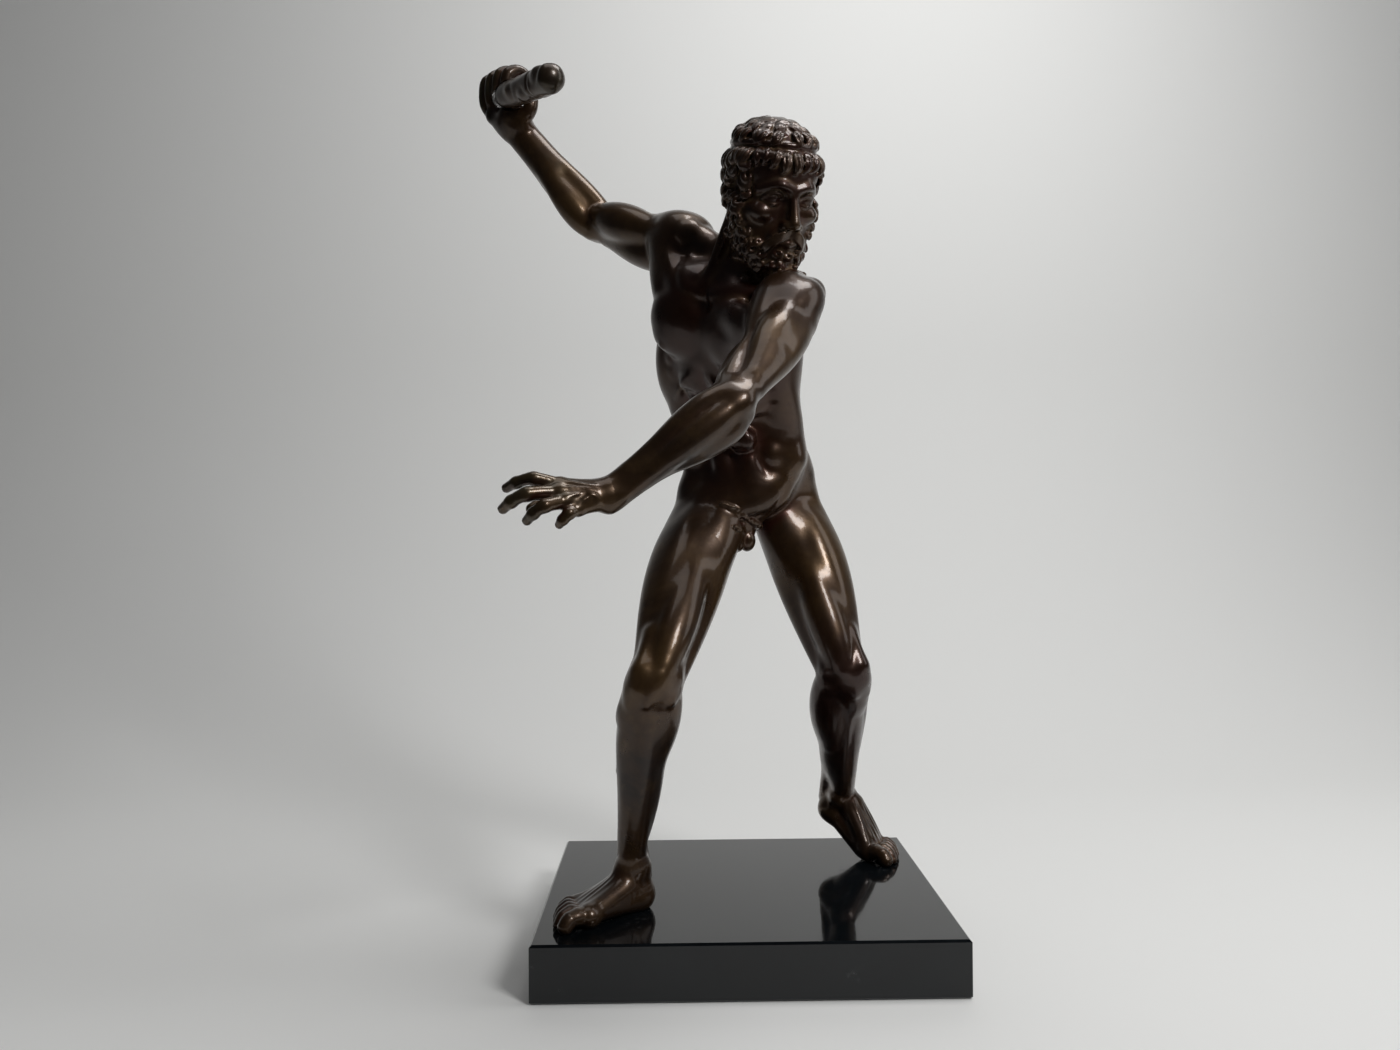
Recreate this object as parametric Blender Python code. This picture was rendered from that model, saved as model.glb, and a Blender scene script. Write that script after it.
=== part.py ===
import bpy
import math
import numpy as np
import bmesh
import openvdb

# Sizes in metres
BASE_WIDTH = 0.225
BASE_DEPTH = 0.183
BASE_THICKNESS = 0.030
BASE_EDGE = 0.0012
FIGURE_HEIGHT = 0.480
SEAT_GAP = 0.0003
CLUB_GAP = 0.0003
CLUB_HANDLE_RADIUS = 0.0034
CLUB_HEAD_RADIUS = 0.0082
CLUB_SIDES = 20

# The figure is worked out in parts, 480 to its own standing height, from the plane of its soles
PART = FIGURE_HEIGHT / 480
CELL = 1.9
FIGURE_FACES = 8600

for old in list(bpy.data.objects):
    bpy.data.objects.remove(old, do_unlink=True)


def vec(*n):
    return np.array(n, float)


def unit(v):
    return np.asarray(v, float) / np.linalg.norm(v)


# One stroke of clay: how it joins, its distance, the box it lies in and how far it blends
strokes = []


def stroke(kind, dist, points, reach, k):
    pts = np.array(points, float)
    strokes.append((kind, dist, pts.min(0) - reach, pts.max(0) + reach, k))


def muscle(a, b, ra, rm, rb, k=4.0, peak=0.5, flat=None, thin=1.0, full=2.2, kind="add"):
    """A spindle from a to b, rm thick at peak, thinner by thin along flat."""
    u = b - a
    n = u @ u
    rise = rm - (ra + (rb - ra) * peak)
    axis = None if flat is None else unit(flat)

    def dist(x, y, z):
        t = ((x - a[0]) * u[0] + (y - a[1]) * u[1] + (z - a[2]) * u[2]) / n
        t = np.clip(t, 0, 1)
        qx = x - a[0] - u[0] * t
        qy = y - a[1] - u[1] * t
        qz = z - a[2] - u[2] * t
        d2 = qx * qx + qy * qy + qz * qz + 1e-6
        bump = (t / peak) ** (full * peak) * ((1 - t) / (1 - peak)) ** (full * (1 - peak))
        r = ra + (rb - ra) * t + rise * bump
        if axis is None:
            return np.sqrt(d2) - r
        s = qx * axis[0] + qy * axis[1] + qz * axis[2]
        e2 = d2 + s * s * (1 / thin ** 2 - 1)
        return (np.sqrt(e2) - r) * np.sqrt(d2 / e2)

    stroke(kind, dist, [a, b], max(ra, rm, rb), k)


def cone(a, b, ra, rb, k=4.0, flat=None, thin=1.0, kind="add"):
    muscle(a, b, ra, (ra + rb) / 2, rb, k, 0.5, flat, thin, kind=kind)


def lump(c, r, axes, k=4.0, kind="add"):
    """An ellipsoid of radii r along three axes."""
    r = np.array(r, float)
    m = np.array(axes, float)

    def dist(x, y, z):
        q = [(x - c[0]) * m[i][0] + (y - c[1]) * m[i][1] + (z - c[2]) * m[i][2] for i in range(3)]
        k0 = np.sqrt(sum((q[i] / r[i]) ** 2 for i in range(3)) + 1e-9)
        k1 = np.sqrt(sum((q[i] / r[i] ** 2) ** 2 for i in range(3)) + 1e-9)
        return k0 * (k0 - 1) / k1

    stroke(kind, dist, [c], max(r), k)


def curve(points, steps=5):
    """A smooth line through the points."""
    p = [np.asarray(q, float) for q in points]
    p = [2 * p[0] - p[1]] + p + [2 * p[-1] - p[-2]]
    out = []
    for i in range(1, len(p) - 2):
        for j in range(steps):
            t = j / steps
            a, b, c, d = p[i - 1:i + 3]
            out.append(0.5 * (2 * b + (c - a) * t + (2 * a - 5 * b + 4 * c - d) * t ** 2
                              + (3 * b - a - 3 * c + d) * t ** 3))
    out.append(p[-2])
    return out


def nearest(line, x, y, z):
    """Distance to a line of points, and how far along it the nearest point is, 0 to 1."""
    best = None
    total = len(line) - 1
    for i in range(total):
        a = line[i]
        u = line[i + 1] - a
        t = ((x - a[0]) * u[0] + (y - a[1]) * u[1] + (z - a[2]) * u[2]) / (u @ u)
        t = np.clip(t, 0, 1)
        d = np.sqrt((x - a[0] - u[0] * t) ** 2 + (y - a[1] - u[1] * t) ** 2 + (z - a[2] - u[2] * t) ** 2 + 1e-6)
        s = (i + t) / total
        if best is None:
            best, where = d, s
        else:
            closer = d < best
            best, where = np.where(closer, d, best), np.where(closer, s, where)
    return best, where


def tube(points, radii, k=2.0, kind="add", steps=4):
    line = curve(points, steps)
    stops = np.linspace(0, 1, len(radii))

    def dist(x, y, z):
        d, s = nearest(line, x, y, z)
        return d - np.interp(s, stops, radii)

    stroke(kind, dist, line, max(radii), k)


def crease(points, width, depth, ends=0.25, steps=4):
    """A soft furrow along a line, or a ridge where depth is below zero."""
    line = curve(points, steps)

    def dist(x, y, z):
        d, s = nearest(line, x, y, z)
        fade = np.clip(np.minimum(s, 1 - s) / max(ends, 1e-6), 0, 1) if ends else 1.0
        return depth * np.exp(-(d / width) ** 2) * fade

    stroke("carve", dist, line, width * 2.5, 0)


def join(d, v, kind, k):
    if kind == "add":
        h = np.maximum(k - np.abs(d - v), 0) / k
        return np.minimum(d, v) - h * h * k / 4
    if kind == "cut":
        h = np.maximum(k - np.abs(d + v), 0) / k
        return np.maximum(d, -v) + h * h * k / 4
    return d + v


def sample(lo, hi, cell):
    """The distance at every point of a grid from lo to hi."""
    n = np.ceil((hi - lo) / cell).astype(int) + 1
    grid = np.full(n, 9.0, np.float32)
    ticks = [lo[i] + cell * np.arange(n[i]) for i in range(3)]
    for kind, dist, a, b, k in strokes:
        pad = k + 3 * cell
        i = np.maximum(np.floor((a - pad - lo) / cell).astype(int), 0)
        j = np.minimum(np.ceil((b + pad - lo) / cell).astype(int) + 1, n)
        if np.any(j <= i):
            continue
        cut = tuple(slice(i[m], j[m]) for m in range(3))
        v = dist(ticks[0][cut[0]][:, None, None], ticks[1][cut[1]][None, :, None],
                 ticks[2][cut[2]][None, None, :])
        grid[cut] = join(grid[cut], v, kind, k)
    return grid


class Frame:
    """Left, front and up of one piece of the body, from a point on it."""

    def __init__(self, origin, up, front):
        self.o = np.asarray(origin, float)
        self.up = unit(up)
        f = np.asarray(front, float)
        self.front = unit(f - (f @ self.up) * self.up)
        self.left = np.cross(self.up, self.front)
        self.axes = (self.left, self.front, self.up)

    def at(self, left, front, up):
        return self.o + left * self.left + front * self.front + up * self.up


class Limb:
    """A stretch from joint a to joint b. Points are given as share along, front and outwards."""

    def __init__(self, a, b, front, side):
        self.a, self.b, self.side = a, b, side
        self.along = unit(b - a)
        self.frame = Frame(a, -self.along, front)
        self.front = self.frame.front
        self.out = self.frame.left * side
        self.axes = (self.out, self.front, self.along)

    def at(self, t, front=0.0, out=0.0):
        return self.a + (self.b - self.a) * t + self.front * front + self.out * out


# The pose: joints in parts from the soles, X to the viewer's right, Y away, Z up
hipR, kneeR, ankleR = vec(-17, -7, 226), vec(-50, -77, 130), vec(-62, -41, 23)
hipL, kneeL, ankleL = vec(29, 12, 231), vec(60, -19, 127), vec(68.5, 57, 38)
shoulderR, elbowR, wristR = vec(-31, -34, 368), vec(-86, 18, 398), vec(-136, 20, 459.5)
shoulderL, elbowL, wristL = vec(23, -88, 323), vec(-12, -146, 265), vec(-66, -150, 225)
pelvis = Frame(vec(6, -1, 238), vec(0.02, -0.2, 1), vec(-0.2, -1, -0.2))
chest = Frame(vec(-8, -33, 311), vec(-0.02, -0.52, 0.85), vec(-0.59, -0.68, -0.40))
head = Frame(vec(13, -82, 385), vec(0.14, -0.42, 0.90), vec(0.40, -0.82, -0.42))
footR = Frame(vec(-57.5, -36.5, 0), vec(0, 0, 1), vec(-0.82, -0.57, 0))
footL = Frame(vec(89, 48, 0), vec(0, 0, 1), vec(0.7, -0.71, 0))


def spine(t):
    """The trunk's own frame from the pelvis at 0 to the chest at 1."""
    waist = vec(0, -6, 270)
    o = (1 - t) ** 2 * pelvis.o + 2 * t * (1 - t) * waist + t * t * chest.o
    e = t * t * (3 - 2 * t)
    return Frame(o, pelvis.up * (1 - e) + chest.up * e, pelvis.front * (1 - e) + chest.front * e)


def leg(hip, knee, ankle, front, side, bow):
    thigh = Limb(hip, knee, front, side)
    p = thigh.at
    cone(p(0.06), p(1), 13, 11.5, 4)
    muscle(p(0.05, 5, 1), p(0.92, 8, 0), 6, 13.5, 4.5, 4, 0.4)
    muscle(p(0.06, 3, 7), p(0.94, 6, 6.5), 8, 14.5, 4, 3, 0.42)
    muscle(p(0.24, 5, -7), p(0.99, 6, -8), 7, 11.5, 4.5, 2.5, 0.66)
    muscle(p(0.0, -3, -8), p(0.72, -3, -7), 12, 16, 5, 5, 0.28)
    muscle(p(0.0, -9, 5), p(1.03, -9, 8.5), 10, 12.5, 3.5, 3.5, 0.4)
    muscle(p(0.0, -10, -4), p(1.05, -8, -8.5), 10, 12.5, 3.5, 3.5, 0.4)
    muscle(p(-0.12, 4, 10), p(0.34, 6, 10), 6, 8, 4, 5, 0.45)
    muscle(p(-0.12, 7, 9), p(0.97, -3, -12), 3, 4.0, 3, 4, 0.35)
    crease([p(0.1, 22, 4), p(0.45, 23, 8), p(0.84, 17, 6)], 2.2, 0.9)
    crease([p(0.42, 22, -8), p(0.65, 21, -3.5), p(0.86, 18, -4)], 2.0, 1.0)
    crease([p(0.12, 0, 20), p(0.5, -1, 19), p(0.95, -2, 14)], 2.4, 0.9)
    shank = Limb(knee, ankle, front, side)
    q = lambda t, f=0.0, o=0.0: shank.at(t, f, o + bow * max(0.0, math.sin(math.pi * min(t, 1.0))))
    both = unit(thigh.front + shank.front)
    mid = unit(thigh.along + shank.along)
    for o in (-1, 1):
        lump(knee + thigh.out * o * 5.2 + both * 0.2, (6.8, 8.8, 11), shank.axes, 7)
        muscle(knee + both * 9 + thigh.out * o * 5 + mid * 5, knee + both * 7.5 + thigh.out * o * 5 + mid * 13,
               2, 2.2, 1.6, 4)
    cap = Frame(knee, -mid, both)
    lump(knee + both * 9.2 - mid * 2.5, (5.6, 4.2, 7), cap.axes, 3.5)
    cone(knee + both * 10.8 - mid * 5, p(0.82, 11, 1), 4, 4.5, 4)
    cone(knee + both * 10 + mid * 5, q(0.15, 9, 0), 3.6, 3.4, 3.5)
    lump(q(0.155, 8.6, 0), (4.6, 4, 5.5), shank.axes, 4)
    cone(knee + both * 4.5, q(0.2, 5.5, 0), 8.4, 6.8, 6)
    cone(q(0.04, 2, -1), q(0.98, 1, -0.5), 11, 7.2, 4)
    cone(q(0.12, 7, -1.5), q(0.9, 3.4, -1.5), 4.4, 4.6, 3)
    muscle(q(-0.02, -8, -6), q(0.64, -5, -5), 5, 12, 3.5, 2.5, 0.44)
    muscle(q(-0.02, -8, 6), q(0.56, -5, 5), 5, 11, 3.5, 2.5, 0.42)
    muscle(q(0.06, -2, -9), q(0.5, -3, -9), 3, 6.2 + bow * 0.1, 3, 4, 0.4)
    muscle(q(0.1, -4, 5), q(0.92, -6, 1), 6, 9, 3.6, 3, 0.48)
    muscle(q(0.1, -4, -5), q(0.92, -6, -1), 6, 9, 3.6, 3, 0.54)
    muscle(q(0.05, 5, 5.5), q(0.9, 4.5, -0.5), 4.5, 7.6, 3, 2.5, 0.3)
    muscle(q(0.03, -1, 9.5), q(0.96, -3.5, 6), 4, 6, 2.6, 2.5, 0.3)
    cone(q(0.62, -8, 0), q(1.1, -12, 0), 4, 3.8, 4)
    crease([q(0.55, -7, 8), q(0.8, -7, 5), q(1.0, -8, 4)], 2.4, 1.4)
    crease([q(0.62, -6, -8), q(0.8, -7, -5), q(1.0, -8, -4)], 2.4, 1.4)
    crease([q(0.12, 12, 3), q(0.45, 11, 2.5), q(0.8, 8, 1)], 1.6, 0.7)
    crease([q(0.18, 11, -6), q(0.5, 8.5, -6.5), q(0.86, 6, -5)], 2.0, 0.9)
    lump(q(0.965, 0.5, -7.2), (3.8, 4.8, 5.2), shank.axes, 2.5)
    lump(q(1.01, -2, 6.8), (3.6, 4.2, 6), shank.axes, 2.5)
    return thigh, shank


thighR, shankR = leg(hipR, kneeR, ankleR, vec(-0.5, -0.8, 0.3), -1, 14)
thighL, shankL = leg(hipL, kneeL, ankleL, vec(0.62, -0.75, 0.2), 1, 0)


def toes(f, out, heads):
    """Toes from the heads of the foot's long bones, the big one first. Gives their ends."""
    ends = []
    for i, head_ in enumerate(heads):
        r = (4.7, 3.3, 3.2, 3.1, 3.0)[i]
        long = (14.5, 13.5, 12, 11, 10)[i]
        way = unit(f.front + out * (0.06, 0.02, 0.05, 0.1, 0.16)[i] * (-1 if i == 0 else 1))
        mid = head_ + way * long * 0.45 + f.up * (0.6 if i == 0 else 2.2)
        bend = head_ + way * long * 0.8 + f.up * (0 if i == 0 else 0.6)
        tip = head_ + way * long
        tip = tip + f.up * (r * 0.72 - tip[2])
        tube([head_, mid, bend, tip], [r, r * 0.84, r * 0.94, r * 0.9], 0.9, steps=3)
        lump(mid, (r * 0.98,) * 3, f.axes, 1.5)
        ends.append((bend, tip, r))
    return ends


def soleHeads(p, fores, outs):
    return [p(fores[i], outs[i], (6.2, 5.8, 5.4, 5.0, 4.6)[i]) for i in range(5)]


def flatFoot(f, ankle, side):
    out = f.left * side
    p = lambda fore, o, u: f.o + f.front * fore + out * o + f.up * u
    heads = soleHeads(p, (39.5, 40.5, 39, 37, 34), (-9.8, -3.7, 2, 7.4, 12.4))
    lump(p(3, 0, 8), (8, 8.2, 9.5), f.axes, 4)
    cone(ankle, p(4.5, 0, 9), 7.4, 7.6, 7)
    cone(ankle - f.up * 2, p(16, -1, 12), 6.6, 7.4, 9)
    cone(p(3, -2, 7.5), heads[0], 8, 5, 5)
    cone(p(3, 3, 6.5), heads[4], 7.5, 4.4, 5)
    for i, o in enumerate((-9.8, -3.7, 2, 7.4, 12.4)):
        cone(p(15, o * 0.45 - 1, 14 - 0.5 * i), heads[i], 6.2, (4.7, 3.6, 3.5, 3.4, 3.5)[i], 3)
        crease([ankle + f.front * 8 + out * o * 0.3 + f.up * 1, p(20, o * 0.55 - 1, 20.6 - abs(o) * 0.35 - 0.5 * i),
                heads[i] + f.up * 3.4], 1.3, -1.0, 0.2)
    lump(heads[0] - f.up * 0.5 - out * 1, (6, 6, 5.6), f.axes, 3)
    lump(heads[4] - f.up * 0.5, (5, 5, 4.4), f.axes, 3)
    return toes(f, out, heads)


def raisedFoot(f, ankle, side):
    """The ball and toes bear on the base and the heel is lifted."""
    out = f.left * side
    p = lambda fore, o, u: f.o + f.front * fore + out * o + f.up * u
    heads = soleHeads(p, (1.5, 2.5, 1.2, -1.2, -4.4), (-10.5, -4.6, 0.9, 6.4, 11.6))
    heel = ankle + vec(-5, 5, -10.5)
    slope = unit(p(0, 0, 8) - heel)
    tilt = Frame(heel, np.cross(slope, out) * side, slope)
    top = ankle + slope * 9 - tilt.up * 1
    lump(heel, (6.8, 7.6, 7.8), tilt.axes, 4)
    cone(ankle, heel, 6.8, 6.6, 5)
    cone(ankle, top, 6.8, 6.2, 6)
    cone(heel, heads[0] - f.front * 5, 7, 5, 5)
    cone(heel, heads[4] - f.front * 3, 7, 4.6, 5)
    for i, o in enumerate((-10.5, -4.6, 0.9, 6.4, 11.6)):
        cone(top + out * o * 0.35, heads[i], 4.9, (4.7, 3.6, 3.5, 3.4, 3.5)[i], 3)
        crease([ankle + slope * 4 + out * o * 0.25 + tilt.up * 7.5, (top + heads[i]) / 2 + out * o * 0.2 + tilt.up * 5.6,
                heads[i] + f.up * 3.6], 1.3, -1.0, 0.2)
    lump(heads[0] - f.up * 0.5, (5.8, 5.8, 5.6), f.axes, 3)
    lump(heads[4] - f.up * 0.5, (4.8, 4.8, 4.4), f.axes, 3)
    return toes(f, out, heads)


toesR = flatFoot(footR, ankleR, -1)
toesL = raisedFoot(footL, ankleL, 1)

# Pelvis and trunk
P = pelvis.at
C = chest.at


def A(left, front, t):
    return spine(t).at(left, front, 0)


lump(P(0, -2, 4), (31, 22, 25), pelvis.axes, 6)
lump(P(-1, 12, 1), (28, 17.5, 20), pelvis.axes, 5)
lump(P(-1, 17, -3), (21, 13, 14), pelvis.axes, 5)
tube([P(-31, 12, -5), P(-21, 20, -8), P(-8, 23.5, -9.5), P(5, 21.5, -9), P(17, 14, -5)], [7, 9, 9.5, 9, 7], 5)
lump(P(-9, 19, -21.5), (17, 10, 8.5), pelvis.axes, 2.5)
lump(P(-2, 17, -26), (9, 9, 8), pelvis.axes, 3)
for s, thigh in ((-1, thighR), (1, thighL)):
    muscle(P(s * 9, -17, 10), thigh.at(0.3, -7, 9), 9, 17, 5, 5, 0.42)
    muscle(P(s * 12, -16, -4), thigh.at(0.1, -14, 0), 12, 14.5, 8, 5, 0.4)
    lump(P(s * 14.5, -15.5, -8), (14.5, 13.5, 16), pelvis.axes, 5)
    muscle(P(s * 24, -4, 20), thigh.at(0.08, 1, 12), 7, 10.5, 5, 6, 0.45)
    lump(P(s * 27.5, 8, 15), (4.5, 5.5, 6), pelvis.axes, 6)
cone(P(-1.5, 23, -21), P(-1.5, 28.5, -32), 3.9, 3.3, 1.6)
lump(P(-1.5, 29, -33), (3.3, 3.3, 3.8), pelvis.axes, 1)
for s in (-1, 1):
    lump(P(s * 4.3 - 1.5, 22.5, -30.5 - s * 0.8), (4.9, 5.2, 6.4), pelvis.axes, 1.0)

lump(A(0, -1, 0.42), (32, 22, 34), spine(0.42).axes, 8)
lump(C(0, 0, 0), (35, 26.5, 46), chest.axes, 8)
lump(C(0, -3, 20), (33, 24, 28), chest.axes, 8)
muscle(C(-32, -2, 14), P(-29, -2, 14), 11, 17, 8, 8, 0.45)
lump(C(-34, 2, -14), (9, 14, 24), chest.axes, 7)
muscle(C(30, 0, 4), P(24, -2, 14), 8, 11, 8, 8)
for t, front, wide, tall in ((0.86, 21.6, 9.2, 7.2), (0.66, 22.2, 9.4, 7.2), (0.45, 22.4, 9.4, 7.6)):
    for s in (-1, 1):
        lump(A(s * 9.6, front, t), (wide, 5.8, tall), spine(t).axes, 2)
for s in (-1, 1):
    muscle(A(s * 8.5, 18.5, 0.31), P(s * 4, 20, -12), 7, 8.5, 5, 3.5, 0.4)
    muscle(A(s * 25, 3, 0.44), A(s * 24, 6, 0.12), 9, 12.5, 8, 5, 0.62)
    lump(A(s * 20, 13.5, 0.3), (7.5, 8, 8.5), spine(0.3).axes, 3.5)
    muscle(P(s * 25, 10, 13), P(s * 8, 18, -17), 5.5, 6.5, 4, 6, 0.3)
    crease([P(s * 27, 17, 7), P(s * 19, 22, -10), P(s * 9, 22, -25)], 2.6, 1.0, 0.3)
    crease([A(s * 19, 20, 0.9), A(s * 19, 21, 0.6), A(s * 16, 24, 0.32), P(s * 16, 24, 4)], 2.8, 1.9)
    crease([C(s * 3, 27, -4), C(s * 13, 26, -15), C(s * 23, 20, -30)], 3.2, -1.6)
    crease([C(s * 3, 28, -8), C(s * 12, 26, -20), C(s * 20, 21, -34)], 3.2, 1.2)
    lump(C(s * 17, 20, 18), (19.5, 10, 18), chest.axes, 4)
    lump(C(s * 13, 6, 40), (16, 15, 10), chest.axes, 6)
    lump(C(s * 20, 19.5, 9), (13.5, 9.8, 10), chest.axes, 4)
    crease([C(s * 3, 32, 2), C(s * 14, 32, -3), C(s * 27, 27, -1), C(s * 34, 20, 6)], 2.4, 1.6, 0.15)
    lump(C(s * 24, 28.6, 6.5), (2.2, 1.2, 2.2), chest.axes, 1)
    muscle(C(s * 31, -8, 20), A(s * 20, -14, 0.3), 9, 12, 5, 6, 0.3)
    lump(C(s * 20, -20, 16), (14, 6.5, 16), chest.axes, 5)
    crease([C(s * 9, -27, 24), C(s * 22, -27, 30), C(s * 34, -20, 38)], 3, -1.6)
    crease([C(s * 8, -28, 4), C(s * 20, -26, -1), C(s * 30, -18, 8)], 3.2, 1.6)
    muscle(C(s * 7, -18, 30), C(s * 6, -22, -14), 7, 7.5, 3, 5, 0.3)
    muscle(C(s * 8, -20, 0), P(s * 8, -20, 10), 5, 8.5, 5, 5, 0.6)
    for i in range(4):
        u = -2 - i * 8.2
        muscle(C(s * (34 - i * 0.8), -2, u + 6), C(s * (26.5 - i * 1.5), 17.5 - i * 0.6, u - 3), 2.4, 3.8, 1.6, 3.5, 0.55)
    for i in range(3):
        u = -6 - i * 9
        crease([C(s * 33, -8, u + 8), C(s * 35, 2, u + 2), C(s * 30, 13, u - 6)], 2.4, 0.8)
crease([C(0, 33, 32), C(0, 33, 14), C(0, 31, 0)], 2.4, 2.4, 0.1)
crease([C(0, 29, 0), A(0, 27, 0.86), A(0, 26, 0.6), A(0, 25.5, 0.38)], 2.4, 2.0, 0.15)
crease([A(0, 26.5, 0.40), A(0, 26.5, 0.36)], 1.5, 2.4, 0)
for t in (0.765, 0.56):
    crease([A(-17, 23, t + 0.02), A(-8, 26, t), A(0, 25, t - 0.01), A(8, 26, t), A(17, 23, t + 0.02)], 1.9, 1.3, 0.15)
crease([A(-16, 24, 0.34), A(-7, 27, 0.325), A(0, 27, 0.32), A(7, 27, 0.325), A(16, 24, 0.34)], 2.0, 1.3, 0.2)
crease([C(0, -28, 36), C(0, -28, 8), A(0, -25, 0.6), A(0, -24, 0.3), P(0, -24, 8)], 3.4, 3.4, 0.08)
crease([P(0, -30, 8), P(0, -33, -8), P(0, -28, -22)], 2.6, 5.5, 0.15)
crease([P(-28, 23, -13.5), P(-19, 28, -16.5), P(-7, 31, -18.5), P(5, 28.5, -17.5), P(15, 24, -14)], 1.7, 2.4, 0.2)


def arm(shoulder, elbow, wrist, front, side, foreFront):
    upper = Limb(shoulder, elbow, front, side)
    p = upper.at
    cone(p(0.05), p(1), 10, 8.6, 4)
    muscle(p(-0.1, 1, 5), p(0.56, 1, 7.5), 10, 14.5, 3.5, 3.5, 0.3)
    muscle(p(-0.06, 9, 1), p(0.5, 4, 7), 8, 10.5, 3.5, 2.5, 0.33)
    muscle(p(-0.06, -10, 1), p(0.5, -4, 6), 8, 10.5, 3.5, 2.5, 0.33)
    muscle(p(0.15, 6, -1.5), p(1.0, 6, 0), 5.5, 11.5, 3.5, 2.5, 0.56)
    muscle(p(0.45, 1, 6), p(1.02, 3.5, 4), 4.5, 7.6, 4, 2.5, 0.5)
    muscle(p(0.02, -7, -4), p(0.84, -7, -3), 6, 10.5, 4, 2.5, 0.45)
    muscle(p(0.14, -6, 4), p(0.8, -7, 3), 5.5, 10.5, 4, 2.5, 0.42)
    cone(p(0.6, -8.4, 0), p(0.98, -6.8, 0), 6.4, 5.2, 5)
    lump(p(0.99, -6.6, 0), (4.6, 4.6, 6.5), upper.axes, 5)
    lump(p(0.96, -1, 6), (4, 4.5, 6.5), upper.axes, 6)
    lump(p(0.96, -1, -6.2), (4, 4.5, 6.5), upper.axes, 6)
    crease([p(0.3, 10, 8), p(0.6, 6, 11), p(0.9, 3, 10)], 2, 1.0)
    crease([p(0.35, -2, 12), p(0.6, -2, 11), p(0.9, -4, 8)], 2, 1.0)
    fore = Limb(elbow, wrist, foreFront, side)
    q = fore.at
    cone(q(0), q(1), 9, 5.8, 4)
    muscle(q(-0.2, 2.5, 6), q(0.74, 2, 4), 4, 8.2, 3, 2.5, 0.4)
    muscle(q(-0.04, 3, -6), q(0.74, 3, -3), 5, 9.2, 3, 2.5, 0.32)
    muscle(q(-0.04, -4, 4.5), q(0.8, -3, 3), 4, 8, 3, 2.5, 0.32)
    muscle(q(0.0, -6, -3.5), q(0.85, -3, -3.5), 4, 7.4, 3, 2.5, 0.34)
    crease([q(0.02, -9, 1.5), q(0.3, -11, 1), q(0.7, -7, 0)], 1.6, 0.9)
    crease([q(0.0, 3, 13), q(0.35, -3, 11.5), q(0.7, -3, 7)], 1.7, 0.9)
    cone(q(0.62, 0, 2.6), q(1.05, 0, 3), 5, 5, 4)
    cone(q(0.62, 0, -2.6), q(1.05, 0, -3), 5, 5, 4)
    lump(q(0.94, -3.2, -4.6), (3, 3, 4), fore.axes, 2)
    return upper, fore


upperR, foreR = arm(shoulderR, elbowR, wristR, vec(0.0, -0.85, 0.53), -1, vec(0.1, -1, 0.1))
upperL, foreL = arm(shoulderL, elbowL, wristL, vec(-0.5, 0.86, 0.1), 1, vec(-0.2, 0.8, -0.5))
for s, upper in ((-1, upperR), (1, upperL)):
    tip = upper.at(-0.1, 0, 1)
    lump(upper.at(0.05, 1, 1.5), (14.5, 15.2, 15.5), upper.axes, 8)
    muscle(C(s * 19, 19, 16), upper.at(0.22, 6, -2), 9, 10.5, 5, 5)
    muscle(C(s * 12, 19, 31), upper.at(0.24, 7, 0), 6, 8.5, 5, 5)
    muscle(C(s * 27, -13, 8), upper.at(0.16, -8, -5), 8, 10.5, 6, 5)
    muscle(C(s * 22, -18, 22), upper.at(0.06, -8, 0), 7, 9, 7, 5)
    muscle(C(s * 5, -14, 50), tip, 8, 9.5, 8, 6)
    muscle(C(s * 13, -18, 36), tip, 9, 10, 8, 6)
    tube([C(s * 3.5, 19, 38), C(s * 14, 19, 41), tip * 0.7 + C(s * 14, 19, 41) * 0.3 + chest.up * 3], [2.6, 2.2, 2.2], 3.5)
    crease([C(s * 14, 28, 34), upper.at(0.02, 13, -3), upper.at(0.25, 13, 1)], 2.2, 1.2, 0.3)

# Neck and head
throat = head.at(0, 0, -26)
nape = head.at(0, -12, -14)
cone(C(0, 3, 34), throat, 14, 12.5, 6)
cone(C(0, -12, 40), nape, 15, 14, 7)
for s in (-1, 1):
    muscle(C(s * 3.5, 19, 37), head.at(s * 16, -7, -14), 1.8, 2.8, 3.4, 4)
crease([C(0, 23, 40), C(0, 25, 36)], 3.2, 2.5, 0)
H = head.at
lump(H(0, -4, 8), (22, 26.5, 27), head.axes, 5)
lump(H(0, 7, -8), (18, 16.5, 25), head.axes, 5)
lump(H(0, 9, -21), (15, 14, 12), head.axes, 5)
lump(H(0, 11, 12), (18, 14, 13), head.axes, 5)
tube([H(-15.5, 16, 2), H(-9, 23.4, 5.6), H(-2.5, 24.6, 4), H(0, 24.2, 3.5), H(2.5, 24.6, 4), H(9, 23.4, 5.6),
      H(15.5, 16, 2)], [1.8, 2.6, 2.2, 2.2, 2.6, 1.8], 3)
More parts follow.
